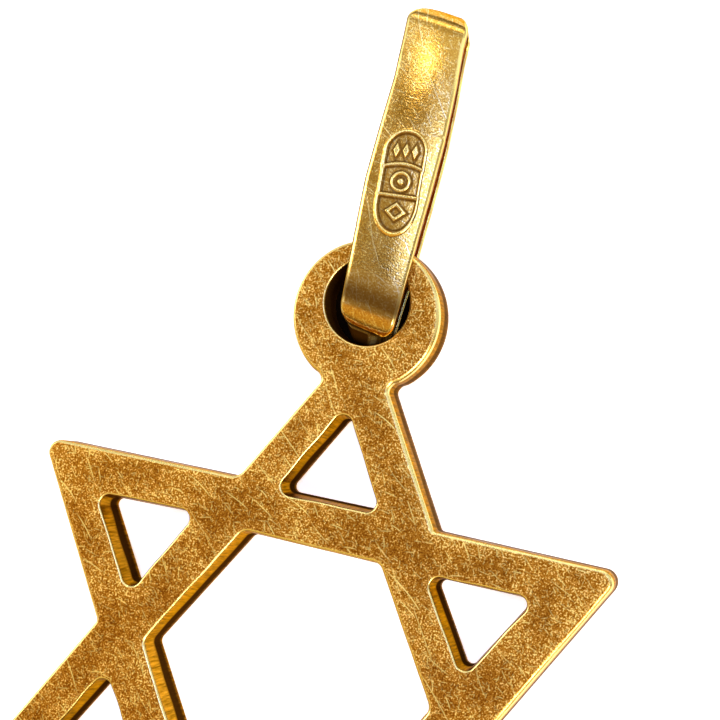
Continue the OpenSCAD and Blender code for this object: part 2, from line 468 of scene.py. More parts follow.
class MetalArea:
    """The metal between closed loops, outer one and openings alike, seen from above."""

    def __init__(self, loops: list[np.ndarray], chunk: int = 2000) -> None:
        """Keeps the loops and the starts and ends of all their sides.

        Args:
            loops: Closed loops of points.
            chunk: How many points are tested at a time.
        """
        self.loops = loops
        self.chunk = chunk
        self.start = np.concatenate(loops)
        self.end = np.concatenate([np.roll(loop, -1, 0) for loop in loops])

    def holds(self, points: np.ndarray) -> np.ndarray:
        """Which points lie in the metal.

        Args:
            points: Points to test.

        Returns:
            True for each point in the metal.
        """
        a, b = self.start, self.end
        rise = b[:, 1] - a[:, 1]
        lean = (b[:, 0] - a[:, 0]) / np.where(np.abs(rise) < TINY, TINY, rise)
        count = np.zeros(len(points), int)
        for s in range(0, len(points), self.chunk):
            x, y = points[s:s + self.chunk, :1], points[s:s + self.chunk, 1:]
            over = (a[None, :, 1] > y) != (b[None, :, 1] > y)
            edge = a[:, 0] + (y - a[None, :, 1]) * lean[None, :]
            count[s:s + self.chunk] = (over & (x < edge)).sum(1)
        return count % 2 == 1

    def reach(self, points: np.ndarray) -> np.ndarray:
        """Distance from each point to the nearest loop.

        Args:
            points: Points to measure from.

        Returns:
            One distance a point.
        """
        along = self.end - self.start
        size = np.maximum((along**2).sum(1), TINY)
        best = np.zeros(len(points))
        for s in range(0, len(points), self.chunk):
            q = points[s:s + self.chunk, None, :] - self.start[None]
            t = np.clip((q * along[None]).sum(2) / size[None], 0, 1)
            best[s:s + self.chunk] = np.sqrt(((q - t[..., None] * along[None]) ** 2).sum(2)).min(1)
        return best

    def fill(self, spacing: float, row: float = 0.866,
             clear: float = 0.45) -> tuple[np.ndarray, np.ndarray]:
        """Even triangles over the metal.

        Args:
            spacing: Distance between the added inner points, in millimetres.
            row: Distance between their rows against the spacing.
            clear: Least distance of one from an edge against the spacing.

        Returns:
            All points, the loops' own first and in their order, and the triangles seen from above.
        """
        lo, hi = self.start.min(0), self.start.max(0)
        rows = []
        for k, y in enumerate(np.arange(lo[1], hi[1], spacing * row)):
            x = np.arange(lo[0], hi[0], spacing) + (spacing / 2 if k % 2 else 0)
            rows.append(np.stack([x, np.full_like(x, y)], 1))
        grid = np.concatenate(rows)
        grid = grid[self.holds(grid)]
        grid = grid[self.reach(grid) > spacing * clear]
        points = np.concatenate([self.start, grid])
        sides, first = [], 0
        for loop in self.loops:
            n = len(loop)
            sides += [(first + i, first + (i + 1) % n) for i in range(n)]
            first += n
        made, _, faces, origin, _, _ = delaunay_2d_cdt([Vector(p) for p in points], sides, [], 0, MERGE)
        place = np.array([o[0] if o else -1 for o in origin])
        tri = np.array([f for f in faces if len(f) == 3])
        centre = np.array([tuple(v) for v in made])[tri].mean(1)
        tri = place[tri[self.holds(centre)]]
        return points, tri[(tri >= 0).all(1)]


class NodeDesk:
    """Builds a node tree with few words."""

    def __init__(self, tree: bpy.types.NodeTree) -> None:
        """Keeps the tree that the nodes go into."""
        self.tree = tree

    def put(self, kind: str, settings: dict | None = None, inputs: dict | None = None) -> bpy.types.Node:
        """Adds one node.

        Args:
            kind: Blender's name of the node type.
            settings: Properties to set on the node.
            inputs: Values or sockets by input name or number.

        Returns:
            The new node.
        """
        node = self.tree.nodes.new(kind)
        for key, value in (settings or {}).items():
            setattr(node, key, value)
        for key, value in (inputs or {}).items():
            self.feed(value, node.inputs[key])
        return node

    def feed(self, value: object, socket: bpy.types.NodeSocket) -> None:
        """Links a socket to an input, or sets the input to a plain value.

        Args:
            value: Value or socket.
            socket: The input.
        """
        if isinstance(value, bpy.types.NodeSocket):
            self.tree.links.new(value, socket)
        elif socket.type == "RGBA" and len(value) == 3:
            socket.default_value = (*value, 1.0)
        else:
            socket.default_value = value

    def use(self, group: bpy.types.NodeTree, inputs: dict) -> bpy.types.NodeOutputs:
        """Places a node group and gives its outputs."""
        return self.put("ShaderNodeGroup", {"node_tree": group}, inputs).outputs

    def math(self, operation: str, a: object, b: object = 0.0, clamp: bool = False) -> bpy.types.NodeSocket:
        """One sum of two values.

        Args:
            operation: Blender's name of the operation.
            a: First value or socket.
            b: Second value or socket.
            clamp: Whether the result is held between 0 and 1.

        Returns:
            The result's socket.
        """
        settings = {"operation": operation, "use_clamp": clamp}
        return self.put("ShaderNodeMath", settings, {0: a, 1: b}).outputs[0]

    def plus(self, a: object, b: object) -> bpy.types.NodeSocket:
        """Two values added."""
        return self.math("ADD", a, b)

    def minus(self, a: object, b: object) -> bpy.types.NodeSocket:
        """One value less another."""
        return self.math("SUBTRACT", a, b)

    def times(self, a: object, b: object) -> bpy.types.NodeSocket:
        """Two values multiplied."""
        return self.math("MULTIPLY", a, b)

    def most(self, a: object, b: object) -> bpy.types.NodeSocket:
        """The larger of two values."""
        return self.math("MAXIMUM", a, b)

    def vector(self, operation: str, a: object, b: object) -> bpy.types.NodeSocket:
        """One sum of two vectors, returned as a vector's socket."""
        return self.put("ShaderNodeVectorMath", {"operation": operation}, {0: a, 1: b}).outputs[0]

    def scaled(self, a: object, scale: object) -> bpy.types.NodeSocket:
        """A vector times a number."""
        return self.put("ShaderNodeVectorMath", {"operation": "SCALE"}, {0: a, "Scale": scale}).outputs[0]

    def blend(self, share: object, a: object, b: object, kind: str = "MIX") -> bpy.types.NodeSocket:
        """Mixes two colours.

        Args:
            share: How much of the second colour shows.
            a: First colour or socket.
            b: Second colour or socket.
            kind: Blender's name of the mixing.

        Returns:
            The mixed colour's socket.
        """
        settings = {"data_type": "RGBA", "blend_type": kind}
        return self.put("ShaderNodeMix", settings, {0: share, 6: a, 7: b}).outputs[2]

    def grey(self, value: object) -> bpy.types.NodeSocket:
        """A value as a grey colour."""
        return self.put("ShaderNodeCombineColor", None, {0: value, 1: value, 2: value}).outputs[0]

    def span(self, value: object, band: Band, low: float = 0.0, high: float = 1.0,
             smooth: bool = True) -> bpy.types.NodeSocket:
        """Carries a value from a stretch to another range and holds it there.

        Args:
            value: Value or socket.
            band: The stretch.
            low: Start of the other range.
            high: End of the other range.
            smooth: Whether the change eases in and out.

        Returns:
            The result's socket.
        """
        settings = {"interpolation_type": "SMOOTHSTEP" if smooth else "LINEAR"}
        return self.put("ShaderNodeMapRange", settings, {
            "Value": value, "From Min": band.start, "From Max": band.end,
            "To Min": low, "To Max": high}).outputs[0]

    def fall(self, value: object, band: Band) -> bpy.types.NodeSocket:
        """Eases from 1 at the start of a stretch to 0 at its end."""
        return self.span(value, band, 1.0, 0.0)

    def between(self, value: object, rising: Band, falling: Band) -> bpy.types.NodeSocket:
        """Eases in over one stretch and out again over another."""
        return self.times(self.span(value, rising), self.fall(value, falling))

    def noise(self, vector: object, noise: Noise) -> bpy.types.NodeSocket:
        """A noise over the first two coordinates of a place."""
        return self.put("ShaderNodeTexNoise", {"noise_dimensions": "2D"}, {
            "Vector": vector, "Scale": noise.scale, "Detail": noise.detail,
            "Roughness": noise.rough}).outputs[0]

    def ramp(self, value: object, stops: tuple[tuple[float, Color], ...]) -> bpy.types.NodeSocket:
        """A colour that changes along a value.

        Args:
            value: Value or socket from 0 to 1.
            stops: Places and colours.

        Returns:
            The colour's socket.
        """
        node = self.put("ShaderNodeValToRGB", None, {0: value})
        bar = node.color_ramp
        while len(bar.elements) < len(stops):
            bar.elements.new(0.5)
        for element, (place, color) in zip(bar.elements, stops):
            element.position = place
            element.color = (*color, 1.0)
        return node.outputs[0]


class GoldShop:
    """Makes the node groups that both gold finishes share, and the finishes themselves."""

    def __init__(self, wear: GoldWearAndShade = GoldWearAndShade()) -> None:
        """Builds the shared groups once."""
        self.wear = wear
        self.scratches = self._scratch_group()
        self.grain = self._grain_group()
        self.edges = self._edge_group()

    @staticmethod
    def _group(name: str, inputs: dict[str, float | None], outputs: tuple[str, ...]) -> tuple[
            NodeDesk, bpy.types.NodeOutputs, bpy.types.NodeInputs]:
        """Starts a shader group.

        Args:
            name: Name of the group.
            inputs: Starting values by input name, None for a vector.
            outputs: Names of the outputs, which are all values.

        Returns:
            The group's desk, what comes in and what goes out.
        """
        group = bpy.data.node_groups.new(name, "ShaderNodeTree")
        for key, value in inputs.items():
            kind = "NodeSocketVector" if value is None else "NodeSocketFloat"
            socket = group.interface.new_socket(key, in_out="INPUT", socket_type=kind)
            if value is not None:
                socket.default_value = value
        for key in outputs:
            group.interface.new_socket(key, in_out="OUTPUT", socket_type="NodeSocketFloat")
        desk = NodeDesk(group)
        return desk, desk.put("NodeGroupInput").outputs, desk.put("NodeGroupOutput").inputs

    def _scratch_group(self) -> bpy.types.NodeTree:
        """Single fine scratches, one to a cell, of a chosen main direction.

        Returns:
            The group, with the inputs Vector, Cell, Width, Angle, Spread and Share and the output Mask.
        """
        d, given, out = self._group("fine_scratches", {
            "Vector": None, "Cell": 1.0, "Width": 0.02, "Angle": 0.0, "Spread": 1.0,
            "Share": 0.5}, ("Mask",))
        wear = self.wear
        place = d.scaled(given["Vector"], d.math("DIVIDE", 1.0, given["Cell"]))
        cell = d.put("ShaderNodeTexVoronoi", {"voronoi_dimensions": "2D", "feature": "F1"},
                     {"Vector": place, "Scale": 1.0, "Randomness": 1.0}).outputs
        off = d.vector("SUBTRACT", place, cell["Position"])
        off = d.put("ShaderNodeSeparateXYZ", None, {0: off}).outputs
        luck = d.put("ShaderNodeSeparateColor", None, {0: cell["Color"]}).outputs
        angle = d.plus(given["Angle"], d.times(d.minus(luck[0], 0.5), given["Spread"]))
        c, s = d.math("COSINE", angle), d.math("SINE", angle)
        along = d.plus(d.times(off[0], c), d.times(off[1], s))
        across = d.minus(d.times(off[1], c), d.times(off[0], s))
        bend = d.times(d.minus(luck[1], 0.5), wear.bend)
        across = d.plus(across, d.times(d.times(along, along), bend))
        width = d.math("DIVIDE", given["Width"], given["Cell"])
        line = d.math("SUBTRACT", 1.0, d.math("DIVIDE", d.math("ABSOLUTE", across), width), clamp=True)
        ends = d.fall(d.math("ABSOLUTE", along), wear.taper)
        there = d.math("LESS_THAN", luck[2], given["Share"])
        depth = d.plus(wear.faintest, d.times(luck[1], 1 - wear.faintest))
        d.feed(d.times(d.times(line, ends), d.times(there, depth)), out["Mask"])
        return d.tree

    def _grain_group(self) -> bpy.types.NodeTree:
        """Fine grain of a worn satin face.

        Returns:
            The group, with the inputs Vector and Size and the outputs Tone, Speck, Cloud and Height.
        """
        d, given, out = self._group("satin_grain", {"Vector": None, "Size": 1.0},
                                    ("Tone", "Speck", "Cloud", "Height"))
        wear = self.wear
        place = d.scaled(given["Vector"], d.math("DIVIDE", 1.0, given["Size"]))
        fine, coarse, cloud = (d.noise(place, noise) for noise in (wear.fine, wear.coarse, wear.cloud))
        tone = d.plus(d.times(fine, wear.fine_part), d.times(coarse, wear.coarse_part))
        speck = d.plus(fine, d.times(d.minus(cloud, 0.5), wear.cloud_speck))
        d.feed(d.span(tone, wear.tones, smooth=False), out["Tone"])
        d.feed(d.span(speck, wear.specks), out["Speck"])
        d.feed(d.span(cloud, wear.clouds), out["Cloud"])
        d.feed(d.plus(fine, d.times(coarse, wear.rough_part)), out["Height"])
        return d.tree

    def _edge_group(self) -> bpy.types.NodeTree:
        """Which part of the edge a place is on, from its way round the edge.

        Returns:
            The group, with the inputs Run, Soot and Streak and the outputs Rim, Wall, Lower, Back
            and Dark; Soot and Dark are the strength and the band of the painted dark reflection on the
            wall.
        """
        d, given, out = self._group("edge_wear_and_shade", {"Run": 0.0, "Dark_Reflection": 0.0, "Streak": 0.5},
                                    ("Rim", "Wall", "Lower", "Back", "Dark"))
        wear = self.wear
        run = d.plus(given["Run"], d.times(d.minus(given["Streak"], 0.5), wear.ragged))
        d.feed(d.between(run, wear.rim_in, wear.rim_out), out["Rim"])
        d.feed(d.between(run, wear.rim_out, wear.wall_out), out["Wall"])
        d.feed(d.span(run, wear.lower_in), out["Lower"])
        d.feed(d.span(run, wear.back_in), out["Back"])
        d.feed(d.times(d.between(run, wear.dark_in, wear.dark_out), given["Dark_Reflection"]), out["Dark"])
        return d.tree

    def _marks(self, d: NodeDesk, skin: bpy.types.NodeSocket, along: float) -> bpy.types.NodeSocket:
        """All layers of scratches over each other.

        Args:
            d: Desk of the material.
            skin: Place on the skin, in millimetres.
            along: Main direction of the scratches, in degrees.

        Returns:
            The socket of their mask.
        """
        marks = None
        for number, layer in enumerate(SCRATCHES):
            gap_x, gap_y = self.wear.layer_gap
            moved = d.vector("ADD", skin, (gap_x * number, gap_y * number, 0.0))
            mask = d.use(self.scratches, {
                "Vector": moved, "Cell": layer.cell, "Width": layer.width,
                "Angle": math.radians(along) + layer.turn, "Spread": layer.spread, "Share": layer.share})
            mask = d.times(mask["Mask"], layer.weight)
            marks = mask if marks is None else d.most(marks, mask)
        return marks

    def make(self, finish: GoldFinish) -> bpy.types.Material:
        """One gold finish.

        Args:
            finish: The finish to make.

        Returns:
            The material, which reads the piece's own UV map skin and its attributes run, soot,
            stain and near; soot and stain carry its painted dark reflection and painted shade.
        """
        material = bpy.data.materials.new(finish.name)
        material.use_nodes = True
        material.node_tree.nodes.clear()
        d, wear = NodeDesk(material.node_tree), self.wear
        skin = d.put("ShaderNodeUVMap", {"uv_map": "skin"}).outputs[0]
        run, soot, stain, near = (d.put("ShaderNodeAttribute", {"attribute_name": name}).outputs["Fac"]
                                  for name in VALUES)
        marks = self._marks(d, skin, finish.along)
        grain = d.use(self.grain, {"Vector": skin, "Size": 1.0})
        streaks = d.noise(d.vector("MULTIPLY", skin, wear.streak_size), wear.streak)
        edge = d.use(self.edges, {"Run": run, "Dark_Reflection": soot, "Streak": streaks})
        tone = d.plus(grain["Tone"], d.times(near, wear.near_tone))
        tone = d.plus(tone, d.times(d.minus(grain["Cloud"], 0.5), wear.cloud_tone))
        face = d.ramp(tone, finish.tones)
        # bright grain specks and fine scratches take the scratch colour: real marks, painted bright as
        # glints
        specks = d.times(grain["Speck"], d.plus(wear.far_speck, d.times(near, 1 - wear.far_speck)))
        specks = d.times(specks, finish.sparkle)
        face = d.blend(d.most(d.times(marks, wear.scratch_cover), specks), face, finish.scratch)
        # painted reflections on the wall: lit upper facet, darker lower wall, lit back rounding, broken by
        # the file streaks into painted highlights and darker streaks
        wall = d.blend(edge["Lower"], finish.facet, finish.wall)
        wall = d.blend(edge["Back"], wall, finish.back)
        lines = d.span(streaks, wear.streaks, wear.dim, wear.lit, smooth=False)
        wall = d.blend(1.0, wall, d.grey(lines), "MULTIPLY")
        color = d.blend(edge["Wall"], face, wall)
        color = d.blend(d.times(edge["Rim"], wear.rim_cover), color, finish.polish)
        # painted shade in the colour deep: the dark reflection band of the walls and the painted shade of
        # the hole, the marks and the hidden parts of the bail
        painted_dark = d.most(edge["Dark"], stain)
        color = d.blend(painted_dark, color, finish.deep)
        smooth = d.most(edge["Rim"], d.times(edge["Wall"], wear.wall_smooth))
        rough = d.plus(d.span(smooth, Band(0.0, 1.0), finish.rough, finish.rim_rough, smooth=False),
                       d.times(d.minus(grain["Cloud"], 0.5), wear.cloud_rough))
        height = d.minus(d.times(grain["Height"], wear.grain_rise), d.times(marks, wear.scratch_sink))
        bump = d.put("ShaderNodeBump", None, {
            "Strength": wear.bump * finish.grain, "Distance": wear.bump_depth, "Height": height})
        gold = d.put("ShaderNodeBsdfPrincipled", None, {
            "Base Color": color, "Metallic": d.minus(1.0, painted_dark), "Roughness": rough,
            "Normal": bump.outputs[0], "Specular Tint": finish.grazing, "Specular IOR Level": 0.0})
        d.feed(gold.outputs[0], d.put("ShaderNodeOutputMaterial").inputs[0])
        return material


def raw_mesh(node: bpy.types.Object) -> tuple[np.ndarray, np.ndarray]:
    """A CAD node's points, each once, and its triangles.

    Args:
        node: The CAD node.

    Returns:
        Points in millimetres and triangles.
    """
    mesh = node.data
    spots = np.array([tuple(v.co) for v in mesh.vertices], np.float64)
    single, index = np.unique(np.round(spots, SAME_DIGITS), axis=0, return_inverse=True)
    mesh.calc_loop_triangles()
    tri = index.reshape(-1)[np.array([tuple(t.vertices) for t in mesh.loop_triangles])]
    good = (tri[:, 0] != tri[:, 1]) & (tri[:, 1] != tri[:, 2]) & (tri[:, 2] != tri[:, 0])
    return single / MM, tri[good]


class Skin:
    """Gathers the points of one piece, with the values that its gold reads at each.

    run is the way round the edge, soot and stain are how dark the painted dark reflection on its
    wall and the painted shade at the place itself are, and near is how close it lies to an edge.
    """

    def __init__(self) -> None:
        """Starts with no points."""
        self.spots: list[np.ndarray] = []
        self.values: dict[str, list[np.ndarray]] = {name: [] for name in VALUES}
        self.count = 0

    def add(self, spots: np.ndarray, **values: np.ndarray | float) -> np.ndarray:
        """Adds points.

        Args:
            spots: The points, in millimetres.
            **values: One value, or one a point, by name, where it isn't 0.

        Returns:
            The numbers of the new points.
        """
        self.spots.append(spots)
        for name in VALUES:
            self.values[name].append(np.zeros(len(spots)) + values.get(name, 0.0))
        self.count += len(spots)
        return np.arange(self.count - len(spots), self.count)

    def piece(self, name: str, row: np.ndarray, faces: list, places: np.ndarray) -> bpy.types.Object:
        """Makes the piece.

        Args:
            name: Name of the piece.
            row: All its points in the row frame, in millimetres.
            faces: Its faces.
            places: Place on the skin of each face's corners, in millimetres.

        Returns:
            The piece.
        """
        mesh = bpy.data.meshes.new(name)
        mesh.from_pydata((row * MM).tolist(), [], faces)
        layer = mesh.uv_layers.new(name="skin")
        layer.data.foreach_set("uv", places.astype(np.float32).reshape(-1))
        for key in VALUES:
            layer = mesh.attributes.new(key, "FLOAT", "POINT")
            layer.data.foreach_set("value", np.concatenate(self.values[key]).astype(np.float32))
        mesh.validate()
        mesh.shade_smooth()
        return bpy.data.objects.new(name, mesh)


def finish_piece(piece: bpy.types.Object, node: str, material: bpy.types.Material,
                 limits: Box) -> None:
    """Dresses a new piece and puts it in place of its CAD node.

    Args:
        piece: The new piece, in metres in the row frame.
        node: The CAD node that it stands for.
        material: Its gold.
        limits: Lowest and highest corner of the CAD model, which no point passes.
    """
    mesh = piece.data
    spots = np.zeros(len(mesh.vertices) * 3, np.float32)
    mesh.vertices.foreach_get("co", spots)
    low, high = (np.array(corner, np.float32) for corner in limits)
    mesh.vertices.foreach_set("co", np.clip(spots.reshape(-1, 3), low, high).reshape(-1))
    mesh.materials.append(material)
    bpy.context.scene.collection.objects.link(piece)
    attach(piece, "root")
    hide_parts(node)
    LOG.info("%s: %d faces", piece.name, len(mesh.polygons))


def quarter(steps: int) -> list[Triple]:
    """A quarter of a rounding.

    Args:
        steps: Number of its steps.

    Returns:
        For each step its share, and how far it is from the side and from the top, as shares of
        the radius.
    """
    turns = [math.pi / 2 * k / steps for k in range(steps + 1)]
    return [(k / steps, 1 - math.sin(a), 1 - math.cos(a)) for k, a in enumerate(turns)]


@dataclass
class StarPlate:
    """The star with its eye: a cut plate with rounded front edges and filed walls.

    Lengths are in millimetres. face_step and back_step are the spacing of the points in the two
    faces, slack is how far a front point may be off. A cut wider than outside_size is the
    outline, one wider than hexagon_size the hexagon and one higher up than hole_place the hole.
    seeds are the first seed of the cuts and the step to the next, and wander_seeds are added for
    the facet and for the split. The outline is rubbed most on the side that faces rubbed, in
    degrees. Its rounding is wider there by the share more and narrower on the other side by the
    share less, and the look of the face runs on over it by the shares slow_near and slow_far.
    round_steps divide a rounding. edge_span, facet_span and split_span are the lengths over which
    the rounding, the filed facet and the split of the wall wander, and facet_swing and split_swing
    say how much. The split is at the share split_at of the thickness and twice split_half wide.
    The four rings of the wall lie at facet_shares of the facet and foot_shares of the foot, and at
    wall_ways round the edge. A wall takes its painted shade between hole_ways. The faces sink by up
    to swell in waves of swell_span, fully from swell_rim off an edge, and near_edge is how far the
    look of an edge reaches.
    """

    node: bpy.types.Object
    place: PlatePlace = field(default_factory=PlatePlace)
    thick: float = 1.5
    face_step: float = 0.2
    back_step: float = 0.6
    slack: float = 0.02
    outside_size: float = 15.0
    hexagon_size: float = 6.0
    hole_place: float = 11.0
    seeds: tuple[int, int] = (5, 31)
    wander_seeds: tuple[int, int] = (7, 13)
    round_steps: int = 7
    rubbed: float = -30.0
    more: float = 0.3
    less: float = 0.4
    slow_near: float = 0.5
    slow_far: float = 0.15
    edge_span: float = 3.0
    facet_swing: float = 0.5
    facet_span: float = 2.2
    split_at: float = 0.52
    split_swing: float = 0.06
    split_span: float = 2.6
    split_half: float = 0.02
    facet_shares: tuple[float, float] = (0.5, 0.04)
    foot_shares: tuple[float, float] = (0.2, 0.7)
    wall_ways: tuple[float, ...] = (1.5, 1.94, 2.04, 2.5)
    hole_ways: tuple[float, float] = (0.9, 3.9)
    swell: float = 0.006
    swell_seed: int = 3
    swell_span: float = 5.0
    swell_rim: float = 0.6
    near_edge: float = 0.5

    def cuts(self) -> list[CutEdge]:
        """The closed cuts of the plate, from the front face of the CAD node.

        Returns:
            One cut for the outside, the hole and each window.
        """
        points, tri = raw_mesh(self.node)
        flat = self.place.to_plate(points)
        front = np.abs(flat[:, 2] - self.thick) < self.slack
        faces = tri[front[tri].all(1)]
        a, b, c = (flat[faces[:, k], :2] for k in range(3))
        turn = (b[:, 0] - a[:, 0]) * (c[:, 1] - a[:, 1]) - (b[:, 1] - a[:, 1]) * (c[:, 0] - a[:, 0])
        faces = np.where((turn < 0)[:, None], faces[:, ::-1], faces)
        sides = {(int(f[k]), int(f[(k + 1) % 3])) for f in faces for k in range(3)}
        after = {i: j for i, j in sides if (j, i) not in sides}
        cuts = []
        while after:
            here, chain = next(iter(after)), []
            while here in after:
                chain.append(here)
                here = after.pop(here)
            loop = flat[chain, :2]
            cut = CutEdge(loop, self._kind(loop))
            cut.merge_points()
            cut.refine()
            cuts.append(cut)
            LOG.info("cut %s of %d points", cut.kind.value, len(cut.points))
        return cuts

    def _kind(self, loop: np.ndarray) -> Cut:
        """Says which kind of cut a loop is, from its size and place.

        Args:
            loop: Points of the cut.

        Returns:
            Its kind.
        """
        size = (loop.max(0) - loop.min(0)).max()
        if size > self.outside_size:
            return Cut.OUTSIDE
        if size > self.hexagon_size:
            return Cut.HEXAGON
        high = (loop[:, 1].max() + loop[:, 1].min()) / 2 > self.hole_place
        return Cut.HOLE if high else Cut.WINDOW

    def profile(self, cut: CutEdge, seed: int) -> list[tuple[np.ndarray, np.ndarray, np.ndarray]]:
        """The rings round one cut, from the front face to the back face.

        Args:
            cut: The cut.
            seed: Seed of its unevenness.

        Returns:
            For each ring its inset, its height and its way round the edge, one value a point. The
            way goes from 0 at the front face through 1, 2 and 3 on the wall to 4 at the back face.
        """
        how = EDGE_FINISH[cut.kind]
        s = cut.lengths[:-1]
        closing = np.sin(math.pi * (s / cut.lengths[-1]))
        front = how.front * (1 + how.uneven * WANDER.along(s, seed, self.edge_span) * closing)
        slow = np.ones_like(s)
        if cut.kind is Cut.OUTSIDE:
            rubbed = math.radians(self.rubbed)
            facing = cut.normals @ np.array([math.cos(rubbed), math.sin(rubbed)])
            near, far = np.clip(facing, 0, 1), np.clip(-facing, 0, 1)
            front = front * (1 + self.more * near - self.less * far)
            slow = 1 - self.slow_near * near - self.slow_far * far
        wander = WANDER.along(s, seed + self.wander_seeds[0], self.facet_span)
        facet = how.facet * (1 + self.facet_swing * wander * closing)
        wander = WANDER.along(s, seed + self.wander_seeds[1], self.split_span)
        split = self.thick * (self.split_at + self.split_swing * wander * closing)
        zero = np.zeros_like(s)
        foot = zero - how.foot
        insets = [facet * self.facet_shares[0], facet * self.facet_shares[1],
                  foot * self.foot_shares[0], foot * self.foot_shares[1]]
        heights = [(self.thick - front + split) / 2, split + self.split_half,
                   split - self.split_half, (split + how.back) / 2]
        rings = [(facet + front * side, self.thick - front * top, share * slow)
                 for share, side, top in quarter(self.round_steps)]
        rings += [(inset, height, way + zero)
                  for inset, height, way in zip(insets, heights, self.wall_ways)]
        rings += [(foot + how.back * top, how.back * side + zero, 3 + share + zero)
                  for share, side, top in quarter(self.round_steps)]
        return rings

    def _wall(self, cut: CutEdge, seed: int,
              skin: Skin) -> tuple[list[np.ndarray], list[np.ndarray], Ring, Ring]:
        """Lays the rings round one cut and joins them.

        Args:
            cut: The cut.
            seed: Seed of its unevenness.
            skin: Where the points go.

        Returns:
            The quads and the skin places of their corners, a ring each, and the first and the last
            ring as its flat points and their numbers.
        """
        how = EDGE_FINISH[cut.kind]
        start, end = cut.lengths[:-1], cut.lengths[1:]
        quads, places, rings = [], [], []
        down, before = 0.0, np.zeros(0)
        for inset, height, run in self.profile(cut, seed):
            flat = cut.inset(inset)
            spots = np.column_stack([flat, height])
            # painted shade over the wall of the hole
            stain = np.where((run > self.hole_ways[0]) & (run < self.hole_ways[1]), how.stain, 0.0)
            ids = skin.add(spots, run=run, soot=how.soot, stain=stain, near=1.0)
            if rings:
                old = rings[-1][1]
                low = down + float(np.linalg.norm(spots - before, axis=1).mean())
                quads.append(np.stack([old, ids, np.roll(ids, -1), np.roll(old, -1)], 1))
                corners = ((start, down), (start, low), (end, low), (end, down))
                places.append(np.stack([np.stack([s, np.full(len(s), v)], 1) for s, v in corners], 1))
                down = low
            rings.append((flat, ids))
            before = spots
        return quads, places, rings[0], rings[-1]

    def _face(self, rings: list[Ring], skin: Skin, front: bool) -> np.ndarray:
        """Fills the front or the back face between the rings round its edges.

        Args:
            rings: Flat points and their numbers, a ring for each cut.
            skin: Where the new points go.
            front: Whether it is the front face.

        Returns:
            The triangles, which point outwards.
        """
        area = MetalArea([flat for flat, _ in rings])
        own = np.concatenate([ids for _, ids in rings])
        points, tri = area.fill(self.face_step if front else self.back_step)
        extra = points[len(own):]
        away = area.reach(extra)
        waves = ROLLING.over(extra[:, 0], extra[:, 1], self.swell_seed, self.swell_span)
        sink = self.swell * (1 + waves) * 0.5
        sink *= np.clip(away / self.swell_rim, 0, 1)
        ids = skin.add(np.column_stack([extra, self.thick - sink if front else sink]),
                       run=0.0 if front else 4.0, near=np.clip(1 - away / self.near_edge, 0, 1))
        tri = np.concatenate([own, ids])[tri]
        return tri if front else tri[:, ::-1]

    def build(self, material: bpy.types.Material, limits: Box) -> bpy.types.Object:
        """Builds the plate.

        Args:
            material: Its gold.
            limits: Lowest and highest corner of the CAD model.

        Returns:
            The piece.
        """
        skin = Skin()
        quads, places, fronts, backs = [], [], [], []
        for number, cut in enumerate(self.cuts()):
            made, corners, first, last = self._wall(cut, self.seeds[1] * number + self.seeds[0], skin)
            quads += made
            places += corners
            fronts.append(first)
            backs.append(last)
        tri = np.concatenate([self._face(fronts, skin, True), self._face(backs, skin, False)])
        flat = np.concatenate(skin.spots)
        faces = np.concatenate(quads).tolist() + tri.tolist()
        places = np.concatenate([np.concatenate(places).reshape(-1, 2), flat[tri.reshape(-1), :2]])
        piece = skin.piece("star_plate_gold", self.place.to_row(flat), faces, places)
        finish_piece(piece, "star_plate", material, limits)
        return piece


@dataclass(frozen=True)
class Lozenge:
    """A lozenge by its half width, its half height and the steepness of the distance to it."""

    wide: float
    high: float
    steep: float

    def edge(self, u: np.ndarray, v: np.ndarray) -> np.ndarray:
        """Signed distance to the lozenge, below 0 inside."""
        return (np.abs(u) / self.wide + np.abs(v) / self.high - 1) * self.steep


def ridge(distance: np.ndarray, at: float, wide: float) -> np.ndarray:
    """A soft ridge along a line that lies at a distance, 1 on the line and falling off beside it."""
    return np.exp(-((distance - at) / wide) ** 2)


